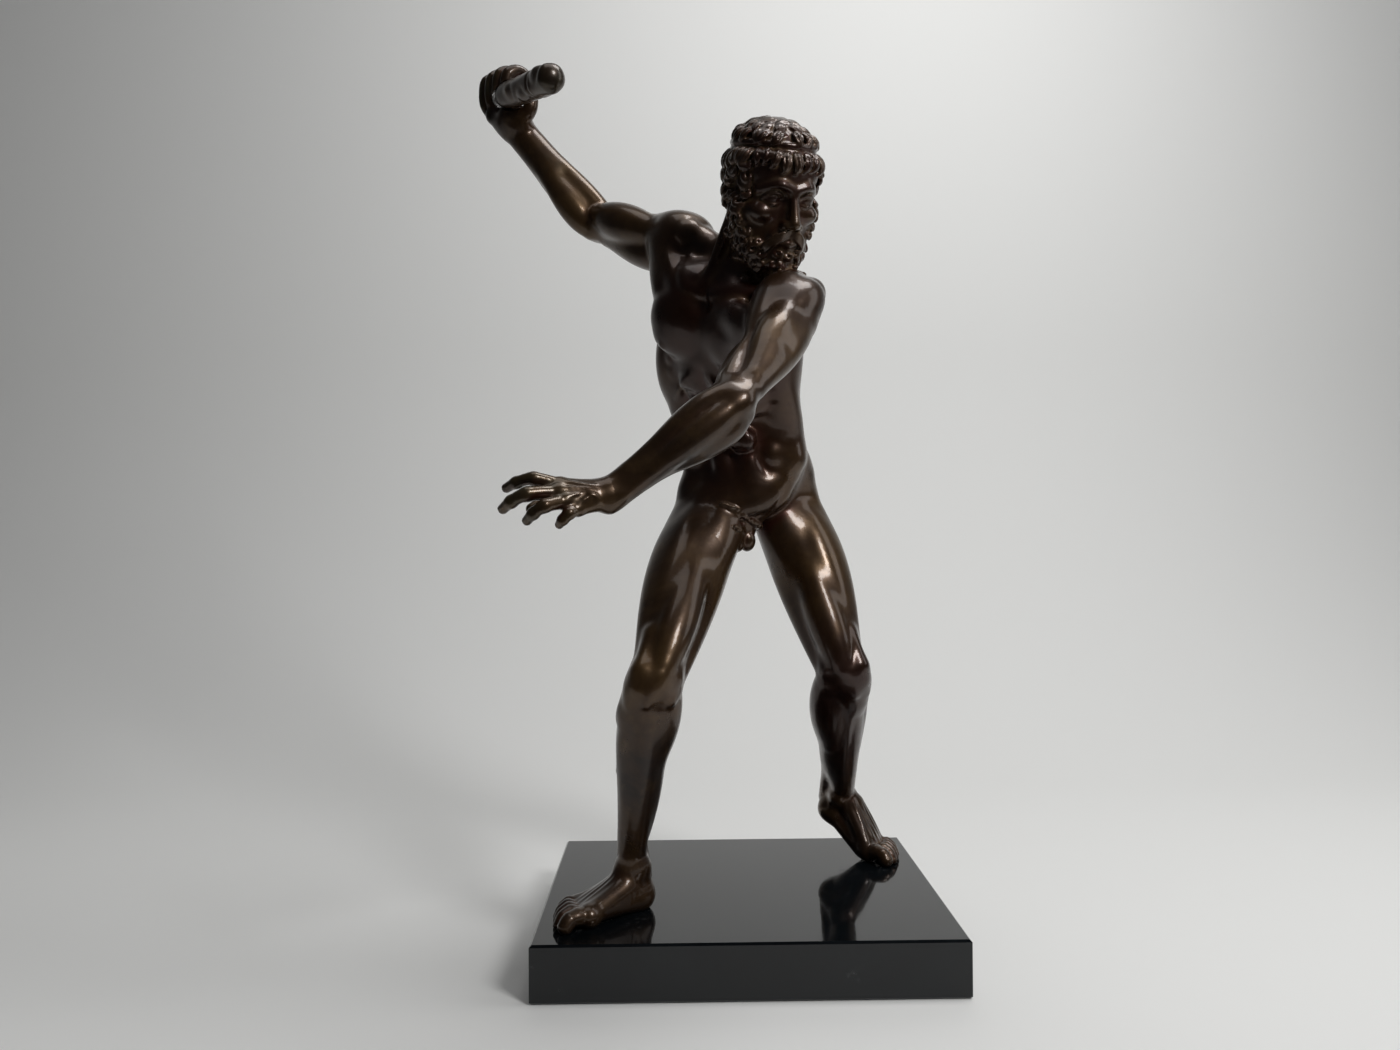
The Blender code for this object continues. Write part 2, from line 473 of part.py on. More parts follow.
for s in (-1, 1):
    lump(H(s * 9.2, 26.5, -1.2), (6.6, 5.2, 4.4), head.axes, 3, "cut")
    lump(H(s * 13, 15.5, -8.5), (6.5, 7, 5), head.axes, 4)
    lump(H(s * 9.2, 17.4, -0.8), (5.2, 5.2, 4.8), head.axes, 0.8)
    tube([H(s * 4.6, 20.8, -1.6), H(s * 6.6, 22.4, 1.0), H(s * 9.6, 22.9, 2.0), H(s * 12.4, 21.2, 0.9), H(s * 14.4, 18.6, -1.6)],
         [0.7, 1.0, 1.1, 1.0, 0.7], 0.8)
    tube([H(s * 4.8, 20.6, -2.0), H(s * 7, 21.6, -3.6), H(s * 9.6, 21.9, -4.2), H(s * 12, 20.6, -3.6), H(s * 14.2, 18.4, -2)],
         [0.6, 0.8, 0.9, 0.8, 0.6], 0.8)
    lump(H(s * 3.7, 26.8, -13.2), (2.5, 3.4, 2.3), head.axes, 1.5)
    crease([H(s * 5.5, 27, -11), H(s * 8, 25, -15), H(s * 11, 22, -19)], 1.8, 0.9)
    muscle(H(s * 18, 2, -2), H(s * 12, 12, -27), 4, 6.5, 6, 4)
    lump(H(s * 14.5, 2, -15), (5.5, 10, 13), head.axes, 4)
    lump(H(s * 21.6, -3, -3), (2.4, 4.6, 7.2), head.axes, 1.5)
    lump(H(s * 24, -1.6, -1.5), (1.6, 2.4, 3.4), head.axes, 1, "cut")
cone(H(0, 18.5, 3), H(0, 22, -12), 3.4, 5, 2)
muscle(H(0, 24, 3), H(0, 30.0, -11.6), 2.0, 2.5, 3.1, 2.5, 0.6)
crease([H(-2.2, 28, -14.8), H(-1.6, 29, -14.6)], 0.9, 1.4, 0)
crease([H(2.2, 28, -14.8), H(1.6, 29, -14.6)], 0.9, 1.4, 0)
lump(H(0, 22.5, -19), (9.5, 5, 6), head.axes, 3)
tube([H(-5.6, 25.2, -21.6), H(0, 26.6, -22.2), H(5.6, 25.2, -21.6)], [1.0, 1.9, 1.0], 1)
lump(H(0, 14, -28.5), (13, 12, 12), head.axes, 4)


def finger(points, radii, k=1.2):
    tube(points, radii, k, steps=4)


# Left hand, reaching with bent fingers and its back to the viewer
knuckles = ((vec(-88, -156, 228.6), vec(-99.5, -159.5, 231.6), vec(-107.5, -157, 230), vec(-112.5, -153.5, 227.8)),
            (vec(-88.5, -159.5, 225.5), vec(-101.5, -166, 224.5), vec(-108.7, -164, 221.3), vec(-113, -160, 218.3)),
            (vec(-85.5, -161.5, 221.5), vec(-93.5, -168.5, 219.3), vec(-98.7, -167, 216), vec(-102, -163.5, 213)),
            (vec(-80, -160, 218.3), vec(-83.5, -164.5, 216), vec(-86.2, -164.5, 213.3), vec(-88, -162.5, 211.2)))
for i, joints in enumerate(knuckles):
    r = (2.9, 3.1, 2.9, 2.6)[i]
    cone(wristL + unit(joints[0] - wristL) * 3, joints[0], 5.4, r + 0.9, 3)
    finger(joints, [r + 0.5, r, r * 0.88, r * 0.78])
    for j in (0, 1, 2):
        lump(joints[j], (r * (1.35, 1.1, 0.98)[j],) * 3, head.axes, 1.2)
cone(wristL, vec(-77, -148, 225), 6, 5.5, 4)
finger([vec(-77, -146, 226), vec(-88, -138, 226), vec(-97, -138, 222.5), vec(-103, -141, 218.7)], [4.6, 4.0, 3.3, 2.8])

# Club line, from the handle's end to the head's end
clubA, clubB = vec(-156, 36, 477.5), vec(-101.5, -50, 458.1)


def clubRadius(t):
    """Radius along the club in parts, t from 0 at the handle's end to 1."""
    handle, thick = CLUB_HANDLE_RADIUS / PART, CLUB_HEAD_RADIUS / PART
    e = min(max((t - 0.18) / 0.2, 0), 1)
    return handle + (thick * (0.9 + 0.1 * t) - handle) * e * e * (3 - 2 * e)


# Right hand, closed round the club's handle with its palm and thumb to the viewer
clubAxis = unit(clubB - clubA)
grip = Frame(clubA, vec(0, 0, 1) - clubAxis * clubAxis[2], clubAxis)


def G(t, right, up):
    return clubA + (clubB - clubA) * t + right * grip.left + up * grip.up


cone(foreR.at(0.5), foreR.at(1.0), 8.6, 8.6, 5)
cone(wristR, G(0.3, 5, -12), 9, 8, 5)
cone(wristR, G(0.18, 0, -9), 8.5, 6, 5)
lump(G(0.34, 9.5, -13), (6.5, 8, 8), grip.axes, 4)
lump(G(0.19, 1.5, 2), (8.5, 9.5, 10.5), grip.axes, 3)
lump(G(0.33, 5, -9), (8, 7, 6), grip.axes, 3)
for i in range(4):
    t = 0.135 + 0.062 * i
    right, up = (1.8, 3.2, 5.2, 7.8)[i], (-0.8, 0.6, 2.0, 2.0)[i]
    r = (3.0, 3.3, 3.4, 3.5)[i]
    arc = [G(t, a + right, b + up) for a, b in ((-2, -9), (-7, -3), (-8.4, 4), (-7, 11), (-1, 14.2), (5.5, 11.5), (8.5, 5.5))]
    finger(arc, [r, r + 0.1, r, r + 0.5, r, r - 0.1, r - 0.5], 0.8)
finger([G(0.34, 8, -12), G(0.40, 11.5, -8), G(0.41, 13, -1), G(0.38, 12, 7)], [5.2, 4.6, 3.9, 3.2], 1.5)


# The club's own channel through the fist
def channel(x, y, z):
    u = clubB - clubA
    t = np.clip(((x - clubA[0]) * u[0] + (y - clubA[1]) * u[1] + (z - clubA[2]) * u[2]) / (u @ u), -0.2, 1.2)
    q = np.sqrt((x - clubA[0] - u[0] * t) ** 2 + (y - clubA[1] - u[1] * t) ** 2 + (z - clubA[2] - u[2] * t) ** 2)
    e = np.clip((t - 0.18) / 0.2, 0, 1)
    handle, thick = CLUB_HANDLE_RADIUS / PART, CLUB_HEAD_RADIUS / PART
    r = handle + (thick * (0.9 + 0.1 * t) - handle) * e * e * (3 - 2 * e)
    return q - r - 1.05


stroke("cut", channel, [clubA, clubB], 12, 0.3)


lump(H(0, -3, 11), (22.4, 27.4, 24.4), head.axes, 3)
for i in range(24):
    a = math.radians(i * 15)
    low = 8 if abs(math.sin(a / 2)) < 0.62 else 2
    lump(H(20.6 * math.sin(a), 25 * math.cos(a) - 3, 26 + 2 * math.cos(a)), (3.6, 3.6, 5.2), head.axes, 1.5)
    lump(H(22.4 * math.sin(a), 26.6 * math.cos(a) - 3, 15 + 2 * math.cos(a)), (3, 3, 5), head.axes, 1.5)
    if low == 2:
        lump(H(20.4 * math.sin(a), 24 * math.cos(a) - 3, 3), (4, 4, 7), head.axes, 2)
for i in range(9):
    a = math.radians(-80 + i * 20)
    lump(H(14.6 * math.sin(a), 14 + 12.6 * math.cos(a), -31 + 2 * math.cos(3 * a)), (3.2, 3.2, 4.5), head.axes, 1.5)
for s in (-1, 1):
    tube([H(s * 1, 28, -16.4), H(s * 6, 27.4, -18.4), H(s * 11.5, 23, -24)], [1.6, 2.4, 1.4], 1.2)
ring = [H(21.6 * math.sin(math.radians(g)), 26 * math.cos(math.radians(g)) - 3, 20.5 + 2.5 * math.cos(math.radians(g)))
        for g in range(0, 361, 20)]
crease(ring, 2.0, 1.6, 0, 2)


def figureMesh(name, cell, faces):
    """The clay's surface as one closed mesh, seated flat on the soles' plane."""
    every = np.array([[s[2], s[3]] for s in strokes if s[0] == "add"])
    lo = every[:, 0].min(0) - 6
    hi = every[:, 1].max(0) + 6
    lo[2] = -2 * cell
    grid = sample(lo, hi, cell)
    z = lo[2] + cell * np.arange(grid.shape[2])
    grid = np.maximum(grid, -z[None, None, :].astype(np.float32))
    volume = openvdb.FloatGrid(9.0)
    volume.copyFromArray(grid.astype(np.float32))
    points, tris, quads = volume.convertToPolygons(0.0, 0.0)
    points = lo + np.array(points) * cell
    points[:, 2] = np.where(points[:, 2] < 0.25 * cell, 0.0, points[:, 2])
    points = points * PART
    points[:, 2] += BASE_THICKNESS + SEAT_GAP
    mesh = bpy.data.meshes.new(name)
    mesh.from_pydata(points.tolist(), [], [list(map(int, q))[::-1] for q in quads] + [list(map(int, t))[::-1] for t in tris])
    mesh.validate()
    obj = bpy.data.objects.new(name, mesh)
    bpy.context.scene.collection.objects.link(obj)
    return obj


def largest(obj):
    """Keeps the largest connected shell."""
    bm = bmesh.new()
    bm.from_mesh(obj.data)
    left = set(bm.verts)
    shells = []
    while left:
        seed = left.pop()
        shell, heap = {seed}, [seed]
        while heap:
            v = heap.pop()
            for e in v.link_edges:
                w = e.other_vert(v)
                if w in left:
                    left.discard(w)
                    shell.add(w)
                    heap.append(w)
        shells.append(shell)
    shells.sort(key=len)
    gone = [v for shell in shells[:-1] for v in shell]
    bmesh.ops.delete(bm, geom=gone, context="VERTS")
    print("shells", [len(s) for s in shells])
    bmesh.ops.recalc_face_normals(bm, faces=bm.faces)
    bm.to_mesh(obj.data)
    bm.free()


figure = figureMesh("figure", CELL, FIGURE_FACES)
largest(figure)
thin = figure.modifiers.new("thin", "DECIMATE")
thin.ratio = min(1.0, FIGURE_FACES / (2 * len(figure.data.polygons)))
evaluated = figure.evaluated_get(bpy.context.evaluated_depsgraph_get())
lean = bpy.data.meshes.new_from_object(evaluated)
figure.modifiers.clear()
figure.data = lean
print("figure faces", len(lean.polygons))


def turned(name, a, b, stops, sides):
    """A closed solid of circles along a line. Stops are (share along, radius) in metres."""
    axis = unit(b - a)
    e1 = unit(np.cross(axis, vec(0, 0, 1)))
    e2 = np.cross(axis, e1)
    verts, faces = [], []
    for t, r in stops:
        c = a + (b - a) * t
        for i in range(sides):
            g = 2 * math.pi * i / sides
            verts.append(c + (e1 * math.cos(g) + e2 * math.sin(g)) * r)
    for j in range(len(stops) - 1):
        for i in range(sides):
            n = (i + 1) % sides
            faces.append((j * sides + i, j * sides + n, (j + 1) * sides + n, (j + 1) * sides + i))
    faces.append(tuple(range(sides))[::-1])
    faces.append(tuple((len(stops) - 1) * sides + i for i in range(sides)))
    mesh = bpy.data.meshes.new(name)
    mesh.from_pydata([tuple(v) for v in verts], [], faces)
    obj = bpy.data.objects.new(name, mesh)
    bpy.context.scene.collection.objects.link(obj)
    return obj


lift = vec(0, 0, BASE_THICKNESS + SEAT_GAP)
stops = [(0.0, 0.55), (0.012, 0.85), (0.03, 1.0)]
ends = [(0.955, 0.93), (0.985, 0.72), (1.0, 0.38)]
body = [(t, 1.0) for t in np.linspace(0.08, 0.93, 12)]
profile = [(t, clubRadius(t) * PART * g) for t, g in stops + body + ends]
club = turned("club", clubA * PART + lift, clubB * PART + lift, profile, CLUB_SIDES)


def slab(name, width, depth, height, edge):
    """A block with its underside at Z 0 and small sloped edges all round the top and the corners."""
    verts = []
    for z, inset in ((0, edge), (edge, 0), (height - edge, 0), (height, edge)):
        w, d = width / 2 - inset, depth / 2 - inset
        verts += [(-w, -d, z), (w, -d, z), (w, d, z), (-w, d, z)]
    faces = [(3, 2, 1, 0), (12, 13, 14, 15)]
    for j in range(3):
        for i in range(4):
            n = (i + 1) % 4
            faces.append((j * 4 + i, j * 4 + n, j * 4 + 4 + n, j * 4 + 4 + i))
    mesh = bpy.data.meshes.new(name)
    mesh.from_pydata(verts, [], faces)
    obj = bpy.data.objects.new(name, mesh)
    bpy.context.scene.collection.objects.link(obj)
    return obj


base = slab("base", BASE_WIDTH, BASE_DEPTH, BASE_THICKNESS, BASE_EDGE)


def paint(obj, name, colour, metallic, roughness):
    mat = bpy.data.materials.new(name)
    mat.use_nodes = True
    shader = mat.node_tree.nodes["Principled BSDF"]
    shader.inputs["Base Color"].default_value = (*colour, 1)
    shader.inputs["Metallic"].default_value = metallic
    shader.inputs["Roughness"].default_value = roughness
    obj.data.materials.clear()
    obj.data.materials.append(mat)


paint(figure, "bronze", (0.10, 0.052, 0.028), 1.0, 0.3)
paint(club, "club bronze", (0.11, 0.058, 0.03), 1.0, 0.3)
paint(base, "black marble", (0.012, 0.013, 0.016), 0.0, 0.08)
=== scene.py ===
import math
import time

import bpy
import numpy as np
import openvdb
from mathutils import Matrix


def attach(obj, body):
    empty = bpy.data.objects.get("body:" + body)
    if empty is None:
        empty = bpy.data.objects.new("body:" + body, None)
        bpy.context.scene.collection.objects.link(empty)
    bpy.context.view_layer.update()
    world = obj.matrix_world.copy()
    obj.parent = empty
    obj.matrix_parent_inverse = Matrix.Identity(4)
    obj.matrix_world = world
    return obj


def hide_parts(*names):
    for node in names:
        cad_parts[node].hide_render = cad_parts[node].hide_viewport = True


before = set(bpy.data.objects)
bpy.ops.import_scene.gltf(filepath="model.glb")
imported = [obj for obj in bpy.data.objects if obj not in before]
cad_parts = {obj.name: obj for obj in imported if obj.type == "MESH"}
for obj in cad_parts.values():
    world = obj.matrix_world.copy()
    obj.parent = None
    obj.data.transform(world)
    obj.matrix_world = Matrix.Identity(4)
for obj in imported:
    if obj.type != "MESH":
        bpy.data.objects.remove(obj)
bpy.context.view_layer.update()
started = time.time()


def say(what):
    print(f"{what} at {time.time() - started:.0f} s")


# The figure is worked out in parts, 480 to its standing height, from the plane of its soles
figureSize = {"height": 0.480, "gap": 0.0003}
baseSize = {"width": 0.225, "depth": 0.183, "thickness": 0.030}
clubSize = {"handle": 0.0034, "head": 0.0082, "neck": 0.18, "flare": 0.2, "taper": 0.1, "gap": 1.05}
part = figureSize["height"] / 480
lift = baseSize["thickness"] + figureSize["gap"]


def vec(*n):
    return np.array(n, float)


def unit(v):
    return np.asarray(v, float) / np.linalg.norm(v)


# One stroke of clay: how it joins, its distance, the box it lies in and how far it blends
strokes = []
fullness = 2.2  # how steeply a muscle swells to its peak


def stroke(kind, dist, points, reach, k):
    pts = np.array(points, float)
    strokes.append((kind, dist, pts.min(0) - reach, pts.max(0) + reach, k))


# A spindle from a to b, ra and rb thick at its ends and rm at its peak
def muscle(a, b, ra, rm, rb, k=4.0, peak=0.5):
    u = b - a
    n = u @ u
    rise = rm - (ra + (rb - ra) * peak)

    def dist(x, y, z):
        t = ((x - a[0]) * u[0] + (y - a[1]) * u[1] + (z - a[2]) * u[2]) / n
        t = np.clip(t, 0, 1)
        qx = x - a[0] - u[0] * t
        qy = y - a[1] - u[1] * t
        qz = z - a[2] - u[2] * t
        d2 = qx * qx + qy * qy + qz * qz + 1e-6
        bump = (t / peak) ** (fullness * peak) * ((1 - t) / (1 - peak)) ** (fullness * (1 - peak))
        return np.sqrt(d2) - (ra + (rb - ra) * t + rise * bump)

    stroke("add", dist, [a, b], max(ra, rm, rb), k)


def cone(a, b, ra, rb, k=4.0):
    muscle(a, b, ra, (ra + rb) / 2, rb, k)


# An ellipsoid of radii r along three axes
def lump(c, r, axes, k=4.0, kind="add"):
    r = np.array(r, float)
    m = np.array(axes, float)

    def dist(x, y, z):
        q = [(x - c[0]) * m[i][0] + (y - c[1]) * m[i][1] + (z - c[2]) * m[i][2] for i in range(3)]
        k0 = np.sqrt(sum((q[i] / r[i]) ** 2 for i in range(3)) + 1e-9)
        k1 = np.sqrt(sum((q[i] / r[i] ** 2) ** 2 for i in range(3)) + 1e-9)
        return k0 * (k0 - 1) / k1

    stroke(kind, dist, [c], max(r), k)


# A smooth line through the points
def curve(points, steps=5):
    p = [np.asarray(q, float) for q in points]
    p = [2 * p[0] - p[1]] + p + [2 * p[-1] - p[-2]]
    out = []
    for i in range(1, len(p) - 2):
        for j in range(steps):
            t = j / steps
            a, b, c, d = p[i - 1:i + 3]
            out.append(0.5 * (2 * b + (c - a) * t + (2 * a - 5 * b + 4 * c - d) * t ** 2
                              + (3 * b - a - 3 * c + d) * t ** 3))
    out.append(p[-2])
    return out


# Distance to a line of points, and how far along it the nearest point is, 0 to 1
def nearest(line, x, y, z):
    best = None
    total = len(line) - 1
    for i in range(total):
        a = line[i]
        u = line[i + 1] - a
        t = ((x - a[0]) * u[0] + (y - a[1]) * u[1] + (z - a[2]) * u[2]) / (u @ u)
        t = np.clip(t, 0, 1)
        d = np.sqrt((x - a[0] - u[0] * t) ** 2 + (y - a[1] - u[1] * t) ** 2
                    + (z - a[2] - u[2] * t) ** 2 + 1e-6)
        s = (i + t) / total
        if best is None:
            best, where = d, s
        else:
            closer = d < best
            best, where = np.where(closer, d, best), np.where(closer, s, where)
    return best, where


# A rod of changing thickness through the points
def tube(points, radii, k=2.0, steps=4):
    line = curve(points, steps)
    stops = np.linspace(0, 1, len(radii))

    def dist(x, y, z):
        d, s = nearest(line, x, y, z)
        return d - np.interp(s, stops, radii)

    stroke("add", dist, line, max(radii), k)


# A soft furrow along a line, or a ridge where depth is below zero
def crease(points, width, depth, ends=0.25, steps=4):
    line = curve(points, steps)

    def dist(x, y, z):
        d, s = nearest(line, x, y, z)
        fade = np.clip(np.minimum(s, 1 - s) / max(ends, 1e-6), 0, 1) if ends else 1.0
        return depth * np.exp(-(d / width) ** 2) * fade

    stroke("carve", dist, line, width * 2.5, 0)


def join(d, v, kind, k):
    if kind == "add":
        h = np.maximum(k - np.abs(d - v), 0) / k
        return np.minimum(d, v) - h * h * k / 4
    if kind == "cut":
        h = np.maximum(k - np.abs(d + v), 0) / k
        return np.maximum(d, -v) + h * h * k / 4
    return d + v


# The distance at every point of a grid from lo to hi
def sample(lo, hi, cell):
    n = np.ceil((hi - lo) / cell).astype(int) + 1
    grid = np.full(n, 9.0, np.float32)
    ticks = [lo[i] + cell * np.arange(n[i]) for i in range(3)]
    for kind, dist, a, b, k in strokes:
        pad = k + 3 * cell
        i = np.maximum(np.floor((a - pad - lo) / cell).astype(int), 0)
        j = np.minimum(np.ceil((b + pad - lo) / cell).astype(int) + 1, n)
        if np.any(j <= i):
            continue
        cut = tuple(slice(i[m], j[m]) for m in range(3))
        v = dist(ticks[0][cut[0]][:, None, None], ticks[1][cut[1]][None, :, None],
                 ticks[2][cut[2]][None, None, :])
        grid[cut] = join(grid[cut], v, kind, k)
    return grid


# Left, front and up of one piece of the body, from a point on it
class Frame:
    def __init__(self, origin, up, front):
        self.o = np.asarray(origin, float)
        self.up = unit(up)
        f = np.asarray(front, float)
        self.front = unit(f - (f @ self.up) * self.up)
        self.left = np.cross(self.up, self.front)
        self.axes = (self.left, self.front, self.up)

    def at(self, left, front, up):
        return self.o + left * self.left + front * self.front + up * self.up


# A stretch from joint a to joint b. Points are given as share along, front and outwards
class Limb:
    def __init__(self, a, b, front, side):
        self.a, self.b = a, b
        self.along = unit(b - a)
        own = Frame(a, -self.along, front)
        self.front = own.front
        self.out = own.left * side
        self.axes = (self.out, self.front, self.along)

    def at(self, t, front=0.0, out=0.0):
        return self.a + (self.b - self.a) * t + self.front * front + self.out * out


# The pose: joints in parts from the soles, X to the viewer's right, Y away, Z up
hipR, kneeR, ankleR = vec(-17, -7, 226), vec(-50, -77, 130), vec(-62, -41, 23)
hipL, kneeL, ankleL = vec(29, 12, 231), vec(60, -19, 127), vec(68.5, 57, 38)
shoulderR, elbowR, wristR = vec(-31, -34, 368), vec(-86, 18, 398), vec(-136, 20, 459.5)
shoulderL, elbowL, wristL = vec(23, -88, 323), vec(-12, -146, 265), vec(-66, -150, 225)
pelvis = Frame(vec(6, -1, 238), vec(0.02, -0.2, 1), vec(-0.2, -1, -0.2))
chest = Frame(vec(-8, -33, 311), vec(-0.02, -0.52, 0.85), vec(-0.59, -0.68, -0.40))
head = Frame(vec(13, -82, 385), vec(0.14, -0.42, 0.90), vec(0.40, -0.82, -0.42))
footR = Frame(vec(-57.5, -36.5, 0), vec(0, 0, 1), vec(-0.82, -0.57, 0))
footL = Frame(vec(89, 48, 0), vec(0, 0, 1), vec(0.7, -0.71, 0))


# The trunk's own frame from the pelvis at 0 to the chest at 1
def spine(t):
    waist = vec(0, -6, 270)
    o = (1 - t) ** 2 * pelvis.o + 2 * t * (1 - t) * waist + t * t * chest.o
    e = t * t * (3 - 2 * t)
    return Frame(o, pelvis.up * (1 - e) + chest.up * e, pelvis.front * (1 - e) + chest.front * e)


def leg(hip, knee, ankle, front, side, bow):
    thigh = Limb(hip, knee, front, side)
    p = thigh.at
    cone(p(0.06), p(1), 13, 11.5, 4)
    muscle(p(0.05, 5, 1), p(0.92, 8, 0), 6, 13.5, 4.5, 4, 0.4)
    muscle(p(0.06, 3, 7), p(0.94, 6, 6.5), 8, 14.5, 4, 3, 0.42)
    muscle(p(0.24, 5, -7), p(0.99, 6, -8), 7, 11.5, 4.5, 2.5, 0.66)
    muscle(p(0.0, -3, -8), p(0.72, -3, -7), 12, 16, 5, 5, 0.28)
    muscle(p(0.0, -9, 5), p(1.03, -9, 8.5), 10, 12.5, 3.5, 3.5, 0.4)
    muscle(p(0.0, -10, -4), p(1.05, -8, -8.5), 10, 12.5, 3.5, 3.5, 0.4)
    muscle(p(-0.12, 4, 10), p(0.34, 6, 10), 6, 8, 4, 5, 0.45)
    muscle(p(-0.12, 7, 9), p(0.97, -3, -12), 3, 4.0, 3, 4, 0.35)
    # Furrows between the thigh's muscles
    crease([p(0.1, 22, 4), p(0.45, 23, 8), p(0.84, 17, 6)], 2.2, 0.9)
    crease([p(0.42, 22, -8), p(0.65, 21, -3.5), p(0.86, 18, -4)], 2.0, 1.0)
    crease([p(0.12, 0, 20), p(0.5, -1, 19), p(0.95, -2, 14)], 2.4, 0.9)
    shank = Limb(knee, ankle, front, side)
    q = lambda t, f=0.0, o=0.0: shank.at(t, f, o + bow * max(0.0, math.sin(math.pi * min(t, 1.0))))
    both = unit(thigh.front + shank.front)
    mid = unit(thigh.along + shank.along)
    # Knee: both knuckles of the thigh bone, the cap and its tendon
    for o in (-1, 1):
        lump(knee + thigh.out * o * 5.2 + both * 0.2, (6.8, 8.8, 11), shank.axes, 7)
        muscle(knee + both * 9 + thigh.out * o * 5 + mid * 5, knee + both * 7.5 + thigh.out * o * 5 + mid * 13,
               2, 2.2, 1.6, 4)
    cap = Frame(knee, -mid, both)
    lump(knee + both * 9.2 - mid * 2.5, (5.6, 4.2, 7), cap.axes, 3.5)
    cone(knee + both * 10.8 - mid * 5, p(0.82, 11, 1), 4, 4.5, 4)
    cone(knee + both * 10 + mid * 5, q(0.15, 9, 0), 3.6, 3.4, 3.5)
    lump(q(0.155, 8.6, 0), (4.6, 4, 5.5), shank.axes, 4)
    cone(knee + both * 4.5, q(0.2, 5.5, 0), 8.4, 6.8, 6)
    # Shank: core, shin, calf and the long muscles, then the ankle's two bumps
    cone(q(0.04, 2, -1), q(0.98, 1, -0.5), 11, 7.2, 4)
    cone(q(0.12, 7, -1.5), q(0.9, 3.4, -1.5), 4.4, 4.6, 3)
    muscle(q(-0.02, -8, -6), q(0.64, -5, -5), 5, 12, 3.5, 2.5, 0.44)
    muscle(q(-0.02, -8, 6), q(0.56, -5, 5), 5, 11, 3.5, 2.5, 0.42)
    muscle(q(0.06, -2, -9), q(0.5, -3, -9), 3, 6.2 + bow * 0.1, 3, 4, 0.4)
    muscle(q(0.1, -4, 5), q(0.92, -6, 1), 6, 9, 3.6, 3, 0.48)
    muscle(q(0.1, -4, -5), q(0.92, -6, -1), 6, 9, 3.6, 3, 0.54)
    muscle(q(0.05, 5, 5.5), q(0.9, 4.5, -0.5), 4.5, 7.6, 3, 2.5, 0.3)
    muscle(q(0.03, -1, 9.5), q(0.96, -3.5, 6), 4, 6, 2.6, 2.5, 0.3)
    cone(q(0.62, -8, 0), q(1.1, -12, 0), 4, 3.8, 4)
    crease([q(0.55, -7, 8), q(0.8, -7, 5), q(1.0, -8, 4)], 2.4, 1.4)
    crease([q(0.62, -6, -8), q(0.8, -7, -5), q(1.0, -8, -4)], 2.4, 1.4)
    crease([q(0.12, 12, 3), q(0.45, 11, 2.5), q(0.8, 8, 1)], 1.6, 0.7)
    crease([q(0.18, 11, -6), q(0.5, 8.5, -6.5), q(0.86, 6, -5)], 2.0, 0.9)
    lump(q(0.965, 0.5, -7.2), (3.8, 4.8, 5.2), shank.axes, 2.5)
    lump(q(1.01, -2, 6.8), (3.6, 4.2, 6), shank.axes, 2.5)
    return thigh


thighR = leg(hipR, kneeR, ankleR, vec(-0.5, -0.8, 0.3), -1, 14)
thighL = leg(hipL, kneeL, ankleL, vec(0.62, -0.75, 0.2), 1, 0)


# The toes, the big one first, and the heads of the foot's long bones that carry them
toeLook = {
    "radius": (4.7, 3.3, 3.2, 3.1, 3.0),
    "length": (14.5, 13.5, 12, 11, 10),
    "splay": (-0.06, 0.02, 0.05, 0.1, 0.16),
    "boneRadius": (4.7, 3.6, 3.5, 3.4, 3.5),
    "boneHeight": (6.2, 5.8, 5.4, 5.0, 4.6),
    "flatFore": (39.5, 40.5, 39, 37, 34),
    "flatOut": (-9.8, -3.7, 2, 7.4, 12.4),
    "raisedFore": (1.5, 2.5, 1.2, -1.2, -4.4),
    "raisedOut": (-10.5, -4.6, 0.9, 6.4, 11.6),
}


# Lays five toes and gives each one's last joint, tip and radius
def toes(f, out, heads):
    ends = []
    for i, bone in enumerate(heads):
        r = toeLook["radius"][i]
        long = toeLook["length"][i]
        way = unit(f.front + out * toeLook["splay"][i])
        mid = bone + way * long * 0.45 + f.up * (0.6 if i == 0 else 2.2)
        bend = bone + way * long * 0.8 + f.up * (0 if i == 0 else 0.6)
        tip = bone + way * long
        tip = tip + f.up * (r * 0.72 - tip[2])
        tube([bone, mid, bend, tip], [r, r * 0.84, r * 0.94, r * 0.9], 0.9, steps=3)
        lump(mid, (r * 0.98,) * 3, f.axes, 1.5)
        ends.append((bend, tip, r))
    return ends


def soleHeads(p, fores, outs):
    return [p(fore, o, up) for fore, o, up in zip(fores, outs, toeLook["boneHeight"])]


# The whole sole bears on the base
def flatFoot(f, ankle, side):
    out = f.left * side
    p = lambda fore, o, u: f.o + f.front * fore + out * o + f.up * u
    heads = soleHeads(p, toeLook["flatFore"], toeLook["flatOut"])
    lump(p(3, 0, 8), (8, 8.2, 9.5), f.axes, 4)
    cone(ankle, p(4.5, 0, 9), 7.4, 7.6, 7)
    cone(ankle - f.up * 2, p(16, -1, 12), 6.6, 7.4, 9)
    cone(p(3, -2, 7.5), heads[0], 8, 5, 5)
    cone(p(3, 3, 6.5), heads[4], 7.5, 4.4, 5)
    for i, o in enumerate(toeLook["flatOut"]):
        cone(p(15, o * 0.45 - 1, 14 - 0.5 * i), heads[i], 6.2, toeLook["boneRadius"][i], 3)
        tendon = [ankle + f.front * 8 + out * o * 0.3 + f.up * 1,
                  p(20, o * 0.55 - 1, 20.6 - abs(o) * 0.35 - 0.5 * i), heads[i] + f.up * 3.4]
        crease(tendon, 1.3, -1.0, 0.2)
    lump(heads[0] - f.up * 0.5 - out * 1, (6, 6, 5.6), f.axes, 3)
    lump(heads[4] - f.up * 0.5, (5, 5, 4.4), f.axes, 3)
    return toes(f, out, heads)


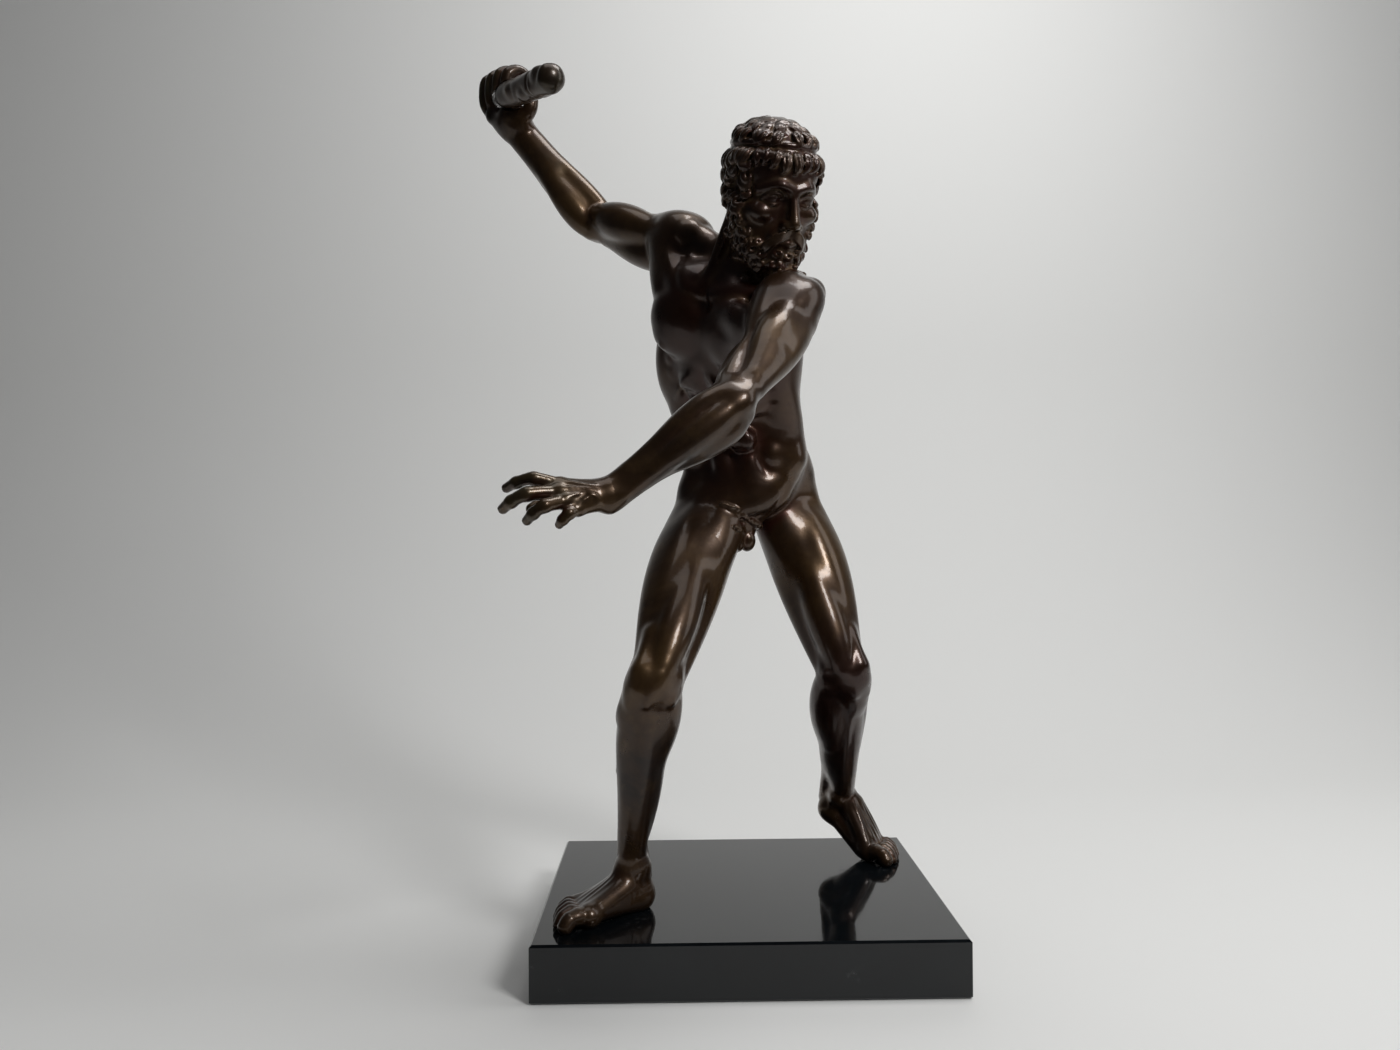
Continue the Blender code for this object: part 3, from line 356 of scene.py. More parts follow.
# The ball and toes bear on the base and the heel is lifted
def raisedFoot(f, ankle, side):
    out = f.left * side
    p = lambda fore, o, u: f.o + f.front * fore + out * o + f.up * u
    heads = soleHeads(p, toeLook["raisedFore"], toeLook["raisedOut"])
    heel = ankle + vec(-5, 5, -10.5)
    slope = unit(p(0, 0, 8) - heel)
    tilt = Frame(heel, np.cross(slope, out) * side, slope)
    top = ankle + slope * 9 - tilt.up * 1
    lump(heel, (6.8, 7.6, 7.8), tilt.axes, 4)
    cone(ankle, heel, 6.8, 6.6, 5)
    cone(ankle, top, 6.8, 6.2, 6)
    cone(heel, heads[0] - f.front * 5, 7, 5, 5)
    cone(heel, heads[4] - f.front * 3, 7, 4.6, 5)
    for i, o in enumerate(toeLook["raisedOut"]):
        cone(top + out * o * 0.35, heads[i], 4.9, toeLook["boneRadius"][i], 3)
        tendon = [ankle + slope * 4 + out * o * 0.25 + tilt.up * 7.5,
                  (top + heads[i]) / 2 + out * o * 0.2 + tilt.up * 5.6, heads[i] + f.up * 3.6]
        crease(tendon, 1.3, -1.0, 0.2)
    lump(heads[0] - f.up * 0.5, (5.8, 5.8, 5.6), f.axes, 3)
    lump(heads[4] - f.up * 0.5, (4.8, 4.8, 4.4), f.axes, 3)
    return toes(f, out, heads)


toesR = flatFoot(footR, ankleR, -1)
toesL = raisedFoot(footL, ankleL, 1)

# Pelvis and trunk
pelvisAt = pelvis.at
chestAt = chest.at


def trunkAt(left, front, t):
    return spine(t).at(left, front, 0)


lump(pelvisAt(0, -2, 4), (31, 22, 25), pelvis.axes, 6)
lump(pelvisAt(-1, 12, 1), (28, 17.5, 20), pelvis.axes, 5)
lump(pelvisAt(-1, 17, -3), (21, 13, 14), pelvis.axes, 5)
bellyRoll = ((-31, 12, -5), (-21, 20, -8), (-8, 23.5, -9.5), (5, 21.5, -9), (17, 14, -5))
tube([pelvisAt(*p) for p in bellyRoll], [7, 9, 9.5, 9, 7], 5)
lump(pelvisAt(-9, 19, -21.5), (17, 10, 8.5), pelvis.axes, 2.5)
lump(pelvisAt(-2, 17, -26), (9, 9, 8), pelvis.axes, 3)
for s, thigh in ((-1, thighR), (1, thighL)):
    muscle(pelvisAt(s * 9, -17, 10), thigh.at(0.3, -7, 9), 9, 17, 5, 5, 0.42)
    muscle(pelvisAt(s * 12, -16, -4), thigh.at(0.1, -14, 0), 12, 14.5, 8, 5, 0.4)
    lump(pelvisAt(s * 14.5, -15.5, -8), (14.5, 13.5, 16), pelvis.axes, 5)
    muscle(pelvisAt(s * 24, -4, 20), thigh.at(0.08, 1, 12), 7, 10.5, 5, 6, 0.45)
    lump(pelvisAt(s * 27.5, 8, 15), (4.5, 5.5, 6), pelvis.axes, 6)
cone(pelvisAt(-1.5, 23, -21), pelvisAt(-1.5, 28.5, -32), 3.9, 3.3, 1.6)
lump(pelvisAt(-1.5, 29, -33), (3.3, 3.3, 3.8), pelvis.axes, 1)
for s in (-1, 1):
    lump(pelvisAt(s * 4.3 - 1.5, 22.5, -30.5 - s * 0.8), (4.9, 5.2, 6.4), pelvis.axes, 1.0)

# Waist, rib cage, then the belly's six squares
lump(trunkAt(0, -1, 0.42), (32, 22, 34), spine(0.42).axes, 8)
lump(chestAt(0, 0, 0), (35, 26.5, 46), chest.axes, 8)
lump(chestAt(0, -3, 20), (33, 24, 28), chest.axes, 8)
muscle(chestAt(-32, -2, 14), pelvisAt(-29, -2, 14), 11, 17, 8, 8, 0.45)
lump(chestAt(-34, 2, -14), (9, 14, 24), chest.axes, 7)
muscle(chestAt(30, 0, 4), pelvisAt(24, -2, 14), 8, 11, 8, 8)
for t, front, wide, tall in ((0.86, 21.6, 9.2, 7.2), (0.66, 22.2, 9.4, 7.2), (0.45, 22.4, 9.4, 7.6)):
    for s in (-1, 1):
        lump(trunkAt(s * 9.6, front, t), (wide, 5.8, tall), spine(t).axes, 2)
# Flanks, breast, ribs and back, the same on both sides
for s in (-1, 1):
    muscle(trunkAt(s * 8.5, 18.5, 0.31), pelvisAt(s * 4, 20, -12), 7, 8.5, 5, 3.5, 0.4)
    muscle(trunkAt(s * 25, 3, 0.44), trunkAt(s * 24, 6, 0.12), 9, 12.5, 8, 5, 0.62)
    lump(trunkAt(s * 20, 13.5, 0.3), (7.5, 8, 8.5), spine(0.3).axes, 3.5)
    muscle(pelvisAt(s * 25, 10, 13), pelvisAt(s * 8, 18, -17), 5.5, 6.5, 4, 6, 0.3)
    crease([pelvisAt(s * 27, 17, 7), pelvisAt(s * 19, 22, -10), pelvisAt(s * 9, 22, -25)], 2.6, 1.0, 0.3)
    crease([trunkAt(s * 19, 20, 0.9), trunkAt(s * 19, 21, 0.6), trunkAt(s * 16, 24, 0.32),
            pelvisAt(s * 16, 24, 4)], 2.8, 1.9)
    crease([chestAt(s * 3, 27, -4), chestAt(s * 13, 26, -15), chestAt(s * 23, 20, -30)], 3.2, -1.6)
    crease([chestAt(s * 3, 28, -8), chestAt(s * 12, 26, -20), chestAt(s * 20, 21, -34)], 3.2, 1.2)
    lump(chestAt(s * 17, 20, 18), (19.5, 10, 18), chest.axes, 4)
    lump(chestAt(s * 13, 6, 40), (16, 15, 10), chest.axes, 6)
    lump(chestAt(s * 20, 19.5, 9), (13.5, 9.8, 10), chest.axes, 4)
    crease([chestAt(s * 3, 32, 2), chestAt(s * 14, 32, -3), chestAt(s * 27, 27, -1),
            chestAt(s * 34, 20, 6)], 2.4, 1.6, 0.15)
    lump(chestAt(s * 24, 28.6, 6.5), (2.2, 1.2, 2.2), chest.axes, 1)
    muscle(chestAt(s * 31, -8, 20), trunkAt(s * 20, -14, 0.3), 9, 12, 5, 6, 0.3)
    lump(chestAt(s * 20, -20, 16), (14, 6.5, 16), chest.axes, 5)
    crease([chestAt(s * 9, -27, 24), chestAt(s * 22, -27, 30), chestAt(s * 34, -20, 38)], 3, -1.6)
    crease([chestAt(s * 8, -28, 4), chestAt(s * 20, -26, -1), chestAt(s * 30, -18, 8)], 3.2, 1.6)
    muscle(chestAt(s * 7, -18, 30), chestAt(s * 6, -22, -14), 7, 7.5, 3, 5, 0.3)
    muscle(chestAt(s * 8, -20, 0), pelvisAt(s * 8, -20, 10), 5, 8.5, 5, 5, 0.6)
    for i in range(4):
        u = -2 - i * 8.2
        muscle(chestAt(s * (34 - i * 0.8), -2, u + 6), chestAt(s * (26.5 - i * 1.5), 17.5 - i * 0.6, u - 3),
               2.4, 3.8, 1.6, 3.5, 0.55)
    for i in range(3):
        u = -6 - i * 9
        crease([chestAt(s * 33, -8, u + 8), chestAt(s * 35, 2, u + 2), chestAt(s * 30, 13, u - 6)], 2.4, 0.8)
crease([chestAt(0, 33, 32), chestAt(0, 33, 14), chestAt(0, 31, 0)], 2.4, 2.4, 0.1)
crease([chestAt(0, 29, 0), trunkAt(0, 27, 0.86), trunkAt(0, 26, 0.6), trunkAt(0, 25.5, 0.38)], 2.4, 2.0, 0.15)
crease([trunkAt(0, 26.5, 0.40), trunkAt(0, 26.5, 0.36)], 1.5, 2.4, 0)
for t in (0.765, 0.56):
    step = ((-17, 23, t + 0.02), (-8, 26, t), (0, 25, t - 0.01), (8, 26, t), (17, 23, t + 0.02))
    crease([trunkAt(*p) for p in step], 1.9, 1.3, 0.15)
step = ((-16, 24, 0.34), (-7, 27, 0.325), (0, 27, 0.32), (7, 27, 0.325), (16, 24, 0.34))
crease([trunkAt(*p) for p in step], 2.0, 1.3, 0.2)
# The line of the back, the seat's cleft and the fold under the belly
backLine = [chestAt(0, -28, 36), chestAt(0, -28, 8), trunkAt(0, -25, 0.6), trunkAt(0, -24, 0.3),
            pelvisAt(0, -24, 8)]
crease(backLine, 3.4, 3.4, 0.08)
crease([pelvisAt(0, -30, 8), pelvisAt(0, -33, -8), pelvisAt(0, -28, -22)], 2.6, 5.5, 0.15)
fold = ((-28, 23, -13.5), (-19, 28, -16.5), (-7, 31, -18.5), (5, 28.5, -17.5), (15, 24, -14))
crease([pelvisAt(*p) for p in fold], 1.7, 2.4, 0.2)


def arm(shoulder, elbow, wrist, front, side, foreFront):
    upper = Limb(shoulder, elbow, front, side)
    p = upper.at
    cone(p(0.05), p(1), 10, 8.6, 4)
    muscle(p(-0.1, 1, 5), p(0.56, 1, 7.5), 10, 14.5, 3.5, 3.5, 0.3)
    muscle(p(-0.06, 9, 1), p(0.5, 4, 7), 8, 10.5, 3.5, 2.5, 0.33)
    muscle(p(-0.06, -10, 1), p(0.5, -4, 6), 8, 10.5, 3.5, 2.5, 0.33)
    muscle(p(0.15, 6, -1.5), p(1.0, 6, 0), 5.5, 11.5, 3.5, 2.5, 0.56)
    muscle(p(0.45, 1, 6), p(1.02, 3.5, 4), 4.5, 7.6, 4, 2.5, 0.5)
    muscle(p(0.02, -7, -4), p(0.84, -7, -3), 6, 10.5, 4, 2.5, 0.45)
    muscle(p(0.14, -6, 4), p(0.8, -7, 3), 5.5, 10.5, 4, 2.5, 0.42)
    cone(p(0.6, -8.4, 0), p(0.98, -6.8, 0), 6.4, 5.2, 5)
    lump(p(0.99, -6.6, 0), (4.6, 4.6, 6.5), upper.axes, 5)
    lump(p(0.96, -1, 6), (4, 4.5, 6.5), upper.axes, 6)
    lump(p(0.96, -1, -6.2), (4, 4.5, 6.5), upper.axes, 6)
    crease([p(0.3, 10, 8), p(0.6, 6, 11), p(0.9, 3, 10)], 2, 1.0)
    crease([p(0.35, -2, 12), p(0.6, -2, 11), p(0.9, -4, 8)], 2, 1.0)
    fore = Limb(elbow, wrist, foreFront, side)
    q = fore.at
    cone(q(0), q(1), 9, 5.8, 4)
    muscle(q(-0.2, 2.5, 6), q(0.74, 2, 4), 4, 8.2, 3, 2.5, 0.4)
    muscle(q(-0.04, 3, -6), q(0.74, 3, -3), 5, 9.2, 3, 2.5, 0.32)
    muscle(q(-0.04, -4, 4.5), q(0.8, -3, 3), 4, 8, 3, 2.5, 0.32)
    muscle(q(0.0, -6, -3.5), q(0.85, -3, -3.5), 4, 7.4, 3, 2.5, 0.34)
    crease([q(0.02, -9, 1.5), q(0.3, -11, 1), q(0.7, -7, 0)], 1.6, 0.9)
    crease([q(0.0, 3, 13), q(0.35, -3, 11.5), q(0.7, -3, 7)], 1.7, 0.9)
    cone(q(0.62, 0, 2.6), q(1.05, 0, 3), 5, 5, 4)
    cone(q(0.62, 0, -2.6), q(1.05, 0, -3), 5, 5, 4)
    lump(q(0.94, -3.2, -4.6), (3, 3, 4), fore.axes, 2)
    return upper, fore


upperR, foreR = arm(shoulderR, elbowR, wristR, vec(0.0, -0.85, 0.53), -1, vec(0.1, -1, 0.1))
upperL, foreL = arm(shoulderL, elbowL, wristL, vec(-0.5, 0.86, 0.1), 1, vec(-0.2, 0.8, -0.5))
# Shoulders: the caps, breast and back muscles on to the arms, and the collar bones
for s, upper in ((-1, upperR), (1, upperL)):
    tip = upper.at(-0.1, 0, 1)
    lump(upper.at(0.05, 1, 1.5), (14.5, 15.2, 15.5), upper.axes, 8)
    muscle(chestAt(s * 19, 19, 16), upper.at(0.22, 6, -2), 9, 10.5, 5, 5)
    muscle(chestAt(s * 12, 19, 31), upper.at(0.24, 7, 0), 6, 8.5, 5, 5)
    muscle(chestAt(s * 27, -13, 8), upper.at(0.16, -8, -5), 8, 10.5, 6, 5)
    muscle(chestAt(s * 22, -18, 22), upper.at(0.06, -8, 0), 7, 9, 7, 5)
    muscle(chestAt(s * 5, -14, 50), tip, 8, 9.5, 8, 6)
    muscle(chestAt(s * 13, -18, 36), tip, 9, 10, 8, 6)
    collar = chestAt(s * 14, 19, 41)
    tube([chestAt(s * 3.5, 19, 38), collar, tip * 0.7 + collar * 0.3 + chest.up * 3], [2.6, 2.2, 2.2], 3.5)
    crease([chestAt(s * 14, 28, 34), upper.at(0.02, 13, -3), upper.at(0.25, 13, 1)], 2.2, 1.2, 0.3)

# Neck and head
throat = head.at(0, 0, -26)
nape = head.at(0, -12, -14)
cone(chestAt(0, 3, 34), throat, 14, 12.5, 6)
cone(chestAt(0, -12, 40), nape, 15, 14, 7)
for s in (-1, 1):
    muscle(chestAt(s * 3.5, 19, 37), head.at(s * 16, -7, -14), 1.8, 2.8, 3.4, 4)
crease([chestAt(0, 23, 40), chestAt(0, 25, 36)], 3.2, 2.5, 0)
headAt = head.at
lump(headAt(0, -4, 8), (22, 26.5, 27), head.axes, 5)
lump(headAt(0, 7, -8), (18, 16.5, 25), head.axes, 5)
lump(headAt(0, 9, -21), (15, 14, 12), head.axes, 5)
lump(headAt(0, 11, 12), (18, 14, 13), head.axes, 5)
brow = ((-15.5, 16, 2), (-9, 23.4, 5.6), (-2.5, 24.6, 4), (0, 24.2, 3.5), (2.5, 24.6, 4), (9, 23.4, 5.6),
        (15.5, 16, 2))
tube([headAt(*p) for p in brow], [1.8, 2.6, 2.2, 2.2, 2.6, 1.8], 3)
upperLid = ((4.6, 20.8, -1.6), (6.6, 22.4, 1.0), (9.6, 22.9, 2.0), (12.4, 21.2, 0.9), (14.4, 18.6, -1.6))
lowerLid = ((4.8, 20.6, -2.0), (7, 21.6, -3.6), (9.6, 21.9, -4.2), (12, 20.6, -3.6), (14.2, 18.4, -2))
# Eyes, cheeks and ears
for s in (-1, 1):
    lump(headAt(s * 9.2, 26.5, -1.2), (6.6, 5.2, 4.4), head.axes, 3, "cut")
    lump(headAt(s * 13, 15.5, -8.5), (6.5, 7, 5), head.axes, 4)
    lump(headAt(s * 9.2, 17.4, -0.8), (5.2, 5.2, 4.8), head.axes, 0.8)
    tube([headAt(s * p[0], p[1], p[2]) for p in upperLid], [0.7, 1.0, 1.1, 1.0, 0.7], 0.8)
    tube([headAt(s * p[0], p[1], p[2]) for p in lowerLid], [0.6, 0.8, 0.9, 0.8, 0.6], 0.8)
    lump(headAt(s * 3.7, 26.8, -13.2), (2.5, 3.4, 2.3), head.axes, 1.5)
    crease([headAt(s * 5.5, 27, -11), headAt(s * 8, 25, -15), headAt(s * 11, 22, -19)], 1.8, 0.9)
    muscle(headAt(s * 18, 2, -2), headAt(s * 12, 12, -27), 4, 6.5, 6, 4)
    lump(headAt(s * 14.5, 2, -15), (5.5, 10, 13), head.axes, 4)
    lump(headAt(s * 21.6, -3, -3), (2.4, 4.6, 7.2), head.axes, 1.5)
    lump(headAt(s * 24, -1.6, -1.5), (1.6, 2.4, 3.4), head.axes, 1, "cut")
# Nose, lips and chin
cone(headAt(0, 18.5, 3), headAt(0, 22, -12), 3.4, 5, 2)
muscle(headAt(0, 24, 3), headAt(0, 30.0, -11.6), 2.0, 2.5, 3.1, 2.5, 0.6)
crease([headAt(-2.2, 28, -14.8), headAt(-1.6, 29, -14.6)], 0.9, 1.4, 0)
crease([headAt(2.2, 28, -14.8), headAt(1.6, 29, -14.6)], 0.9, 1.4, 0)
lump(headAt(0, 22.5, -19), (9.5, 5, 6), head.axes, 3)
tube([headAt(-5.6, 25.2, -21.6), headAt(0, 26.6, -22.2), headAt(5.6, 25.2, -21.6)], [1.0, 1.9, 1.0], 1)
lump(headAt(0, 14, -28.5), (13, 12, 12), head.axes, 4)


# Left hand, reaching with bent fingers and its back to the viewer
# Joints of the four fingers, from the knuckle to the tip
knuckles = (
    (vec(-88, -156, 228.6), vec(-99.5, -159.5, 231.6),
     vec(-107.5, -157, 230), vec(-112.5, -153.5, 227.8)),
    (vec(-88.5, -159.5, 225.5), vec(-101.5, -166, 224.5),
     vec(-108.7, -164, 221.3), vec(-113, -160, 218.3)),
    (vec(-85.5, -161.5, 221.5), vec(-93.5, -168.5, 219.3),
     vec(-98.7, -167, 216), vec(-102, -163.5, 213)),
    (vec(-80, -160, 218.3), vec(-83.5, -164.5, 216),
     vec(-86.2, -164.5, 213.3), vec(-88, -162.5, 211.2)),
)
fingerRadius = (2.9, 3.1, 2.9, 2.6)
for r, joints in zip(fingerRadius, knuckles):
    cone(wristL + unit(joints[0] - wristL) * 3, joints[0], 5.4, r + 0.9, 3)
    tube(joints, [r + 0.5, r, r * 0.88, r * 0.78], 1.2)
    for j in (0, 1, 2):
        lump(joints[j], (r * (1.35, 1.1, 0.98)[j],) * 3, head.axes, 1.2)
cone(wristL, vec(-77, -148, 225), 6, 5.5, 4)
thumb = [vec(-77, -146, 226), vec(-88, -138, 226), vec(-97, -138, 222.5), vec(-103, -141, 218.7)]
tube(thumb, [4.6, 4.0, 3.3, 2.8], 1.2)

# Club line, from the handle's end to the head's end
clubA, clubB = vec(-156, 36, 477.5), vec(-101.5, -50, 458.1)


# Radius along the club in parts, t from 0 at the handle's end to 1
def clubRadius(t):
    handle, thick = clubSize["handle"] / part, clubSize["head"] / part
    e = np.clip((t - clubSize["neck"]) / clubSize["flare"], 0, 1)
    return handle + (thick * (1 - clubSize["taper"] + clubSize["taper"] * t) - handle) * e * e * (3 - 2 * e)


# Right hand, closed round the club's handle with its palm and thumb to the viewer
clubAxis = unit(clubB - clubA)
grip = Frame(clubA, vec(0, 0, 1) - clubAxis * clubAxis[2], clubAxis)


def gripAt(t, right, up):
    return clubA + (clubB - clubA) * t + right * grip.left + up * grip.up


cone(foreR.at(0.5), foreR.at(1.0), 8.6, 8.6, 5)
cone(wristR, gripAt(0.3, 5, -12), 9, 8, 5)
cone(wristR, gripAt(0.18, 0, -9), 8.5, 6, 5)
lump(gripAt(0.34, 9.5, -13), (6.5, 8, 8), grip.axes, 4)
lump(gripAt(0.19, 1.5, 2), (8.5, 9.5, 10.5), grip.axes, 3)
lump(gripAt(0.33, 5, -9), (8, 7, 6), grip.axes, 3)
# Each finger's way round the handle, to the right of its line and above it
wrap = ((-2, -9), (-7, -3), (-8.4, 4), (-7, 11), (-1, 14.2), (5.5, 11.5), (8.5, 5.5))
for i in range(4):
    t = 0.135 + 0.062 * i
    right, up = (1.8, 3.2, 5.2, 7.8)[i], (-0.8, 0.6, 2.0, 2.0)[i]
    r = (3.0, 3.3, 3.4, 3.5)[i]
    arc = [gripAt(t, a + right, b + up) for a, b in wrap]
    tube(arc, [r, r + 0.1, r, r + 0.5, r, r - 0.1, r - 0.5], 0.8)
thumb = [gripAt(0.34, 8, -12), gripAt(0.40, 11.5, -8), gripAt(0.41, 13, -1), gripAt(0.38, 12, 7)]
tube(thumb, [5.2, 4.6, 3.9, 3.2], 1.5)


# The club's own channel through the fist
def channel(x, y, z):
    u = clubB - clubA
    t = np.clip(((x - clubA[0]) * u[0] + (y - clubA[1]) * u[1] + (z - clubA[2]) * u[2]) / (u @ u), -0.2, 1.2)
    q = np.sqrt((x - clubA[0] - u[0] * t) ** 2 + (y - clubA[1] - u[1] * t) ** 2
                + (z - clubA[2] - u[2] * t) ** 2)
    return q - clubRadius(t) - clubSize["gap"]


stroke("cut", channel, [clubA, clubB], 12, 0.3)


# Hair and beard: locks of two to four strands, laid on the head as it stands without them
hairLook = {
    "cap": (22.4, 27.4, 24.4),
    "bandWidth": 1.9,
    "bandHeight": 21.5,
    "bandTilt": 2.5,
    "strand": 0.9,
    "beardStep": 4.7,
}
lump(headAt(0, -3, 11), tuple(r - 0.5 for r in hairLook["cap"]), head.axes, 2)
for s in (-1, 1):
    lump(headAt(s * 19.5, 3, 10), (3.6, 6.5, 8.5), head.axes, 3)
    lump(headAt(s * 16.4, 6, -11), (4.6, 8, 10), head.axes, 4)
skinCell = 0.9
skinHalf = 47
skin = {"low": head.o - skinHalf, "values": sample(head.o - skinHalf, head.o + skinHalf, skinCell)}


# How far p is outside the clay that the field was sampled from
def depth(p, field=skin):
    q = (p - field["low"]) / skinCell
    i = np.clip(np.floor(q).astype(int), 0, np.array(field["values"].shape) - 2)
    f = np.clip(q - i, 0, 1)
    c = field["values"][i[0]:i[0] + 2, i[1]:i[1] + 2, i[2]:i[2] + 2]
    c = c[0] * (1 - f[0]) + c[1] * f[0]
    c = c[0] * (1 - f[1]) + c[1] * f[1]
    return c[0] * (1 - f[2]) + c[1] * f[2]


def outward(p):
    return unit(np.array([depth(p + a) - depth(p - a) for a in np.eye(3) * 1.3]))


def onto(p, height=0.0):
    for _ in range(3):
        p = p - outward(p) * (depth(p) - height)
    return p


# Where the head's surface stands at a turn from the front, to the left, in degrees, and a height
def onHead(turn, up, front=-2.0):
    a = math.radians(turn)
    way = head.left * math.sin(a) + head.front * math.cos(a)
    p = headAt(0, front, up) + way * 42
    while depth(p) > 0 and (p - headAt(0, front, up)) @ way > 0:
        p = p - way * 0.5
    return p


# Where the crown stands at a turn from the front and a rise above the ears, in degrees
def onCrown(turn, rise):
    a, b = math.radians(turn), math.radians(rise)
    way = (head.left * math.sin(a) + head.front * math.cos(a)) * math.cos(b) + head.up * math.sin(b)
    p = headAt(0, -3, 11) + way * 40
    while depth(p) > 0:
        p = p - way * 0.5
    return p


# A lock from start. heading is its angle from straight down, in degrees, and bends how it turns
def lock(start, heading, length, bends, width, rise, strands=3, steps=9, size=1.0):
    p = onto(start)
    angle = math.radians(heading)
    path = []
    for i in range(steps + 1):
        t = i / steps
        n = outward(p)
        up = unit(head.up - (head.up @ n) * n)
        side = np.cross(n, up)
        way = -up * math.cos(angle) + side * math.sin(angle)
        path.append((p, n, np.cross(n, way), t))
        p = onto(p + way * length / steps)
        angle += math.radians(np.interp(t, np.linspace(0, 1, len(bends)), bends)) / steps
    r = hairLook["strand"] * size
    for j in range(strands):
        o = (j - (strands - 1) / 2) / max(1, (strands - 1) / 2)
        line = []
        for p, n, across, t in path:
            spread = width * (0.6 + 0.4 * math.sin(math.pi * min(1, t * 1.1))) * (1 - 0.8 * t ** 3)
            high = rise * math.sin(math.pi * (0.1 + 0.8 * t)) - 0.5 - 0.55 * abs(o)
            line.append(p + n * high + across * o * spread)
        tube(line, [r * 0.8, r * (1.15 if abs(o) < 0.5 else 0.95), r, r * 0.5], 0.3, steps=1)


def wobble(i, seed=0.0):
    return math.sin(i * 12.9898 + seed * 4.1) * math.cos(i * 7.233 + seed)


def bandUp(turn):
    return hairLook["bandHeight"] + hairLook["bandTilt"] * math.cos(math.radians(turn))


# Low waves on the crown, then big S-shaped locks standing in a ring on the band
for i in range(7):
    lock(onCrown(i * 51 + 20, 74), 60, 13, (80, -220, 160), 2.4, 1.0, 4, 9, 0.85)
for i in range(13):
    turn = i * 27.7 + 5 * wobble(i, 2)
    lock(onCrown(turn, 63 + 3 * wobble(i, 8)), -35 + 25 * wobble(i, 2), 11, (150, -210, -100),
         2.4, 1.8, 4, 10, 0.9)
for i in range(18):
    turn = i * 20 + 4 * wobble(i)
    way = 1 if i % 3 else -1
    lock(onCrown(turn, 46 + 3 * wobble(i, 5)), (24 + 14 * wobble(i, 1)) * way, 9.5,
         (-130 * way, 130 * way, 180 * way), 2.2, 3.2, 3, 10)
band = [onHead(g, bandUp(g), -3) for g in range(0, 361, 15)]
tube(band, [hairLook["bandWidth"]] * 2, 0.3, steps=2)
# Below it a fringe of comma locks, then waves down to the nape
for i in range(15):
    turn = -84 + i * 12 + 2.5 * wobble(i, 9)
    way = -1 if turn < -48 else 1
    lock(onHead(turn, bandUp(turn) - 3.0 + 0.6 * wobble(i, 3), -3), (12 + 20 * wobble(i, 4)) * way,
         9.6 + 1.6 * wobble(i, 6), (-60 * way, 40 * way, 330 * way), 2.0, 2.9, 3, 10)
for row in range(4):
    count = 13 - row
    for i in range(count):
        turn = 96 + 168 / (count - 1) * i + 3 * wobble(i, row)
        way = 1 if (i + row) % 2 else -1
        lock(onHead(turn, bandUp(turn) - 4 - row * 7.2, -3), 14 * way, 11.5,
             (-150 * way, 200 * way, 220 * way), 2.1, 2.6 - 0.3 * row, 3, 10)
# Curls over the ears
for s in (-1, 1):
    for i in range(15):
        turn = s * (62 + 12 * (i % 3) + 5 * (i // 3 % 2))
        up = 15 - 5.2 * (i // 3)
        if i // 3 >= 3 and i % 3 == 2:
            continue
        way = s if i % 2 else -s
        lock(onHead(turn + 3 * wobble(i, 11), up + 1.2 * wobble(i, 12), 0), 30 * wobble(i, 13), 11,
             (180 * way, 330 * way, 420 * way), 1.2, 2.8, 3, 10, 0.95)
# Beard of ringlets in staggered rows along the jaw, and the moustache
row = 0
up = -4.0
while up > -43:
    turn = -104 + (row % 2) * 6.5
    while turn < 105:
        edge = np.interp(abs(turn), (0, 20, 34, 52, 76), (-25.5, -26, -23, -15, 0))
        if up < edge and not (up < -33 and abs(turn) > 62):
            i = int(turn * 3 + row * 31)
            way = 1 if (i // 3 + row) % 2 else -1
            lock(onHead(turn + 2.5 * wobble(i, 1), up + wobble(i, 2), 3), 50 * wobble(i, 3), 8.6,
                 (250 * way, 380 * way, 520 * way), 0.95, 2.2, 2, 9, 1.0)
        turn += hairLook["beardStep"] * (2.9 if up > -34 else 3.6)
    up -= hairLook["beardStep"]
    row += 1
for s in (-1, 1):
    for j in range(4):
        hair = [headAt(s * 0.8, 27.6 - j * 0.2, -15.4 - j * 0.9),
                headAt(s * 4.5, 28.2 - j * 0.2, -16.6 - j * 1.2),
                headAt(s * 8.5, 26.2, -19.4 - j * 1.3),
                headAt(s * (11.8 - 0.6 * j), 23.2, -23.2 - j * 1.2),
                headAt(s * (13.6 - j * 1.4), 22.3, -25.8 - j * 0.4)]
        tube(hair, [0.7, 1.05, 1.0, 0.85, 0.4], 0.3)

# Short curls at the groin, on whatever faces forward there
groinLow = vec(-30, -60, 190)
groin = {"low": groinLow, "values": sample(groinLow, vec(38, 20, 240), skinCell)}
for i in range(44):
    drop = 1 - ((i * 0.618) % 1) ** 1.3
    c = vec(4 + (20.0 - 12 * drop) * (2 * ((i * 0.382 + 0.1) % 1) - 1), -58, 223 - 14 * drop)
    while depth(c, groin) > 0 and c[1] < 15:
        c = c + vec(0, 0.5, 0)
    a = i * 2.4
    curl = [c + vec(1, 0, 0) * 1.9 * math.cos(a + g) * (1 - 0.14 * g)
            + vec(0, -0.2, 1) * 1.9 * math.sin(a + g) * (1 - 0.14 * g) for g in range(5)]
    tube(curl, [0.85, 0.95, 0.6], 0.4, steps=2)


# Nails: a low plate on the back of every toe end and of the left hand's finger ends, with a furrow round it
def nail(joint, tip, r, back):
    way = unit(tip - joint)
    plate = Frame(tip + back * r * 0.42 + way * r * 0.15, back, way)
    rim = [plate.at(0.62 * r * math.sin(g), 0.75 * r * math.cos(g), 0.28 * r * math.cos(g) ** 2 + 0.12 * r)
           for g in np.linspace(-2.6, 2.6, 9)]
    lump(plate.o, (0.56 * r, 0.72 * r, 0.5 * r), plate.axes, 0.3)
    crease(rim, 0.5, 0.32, 0.1, 2)


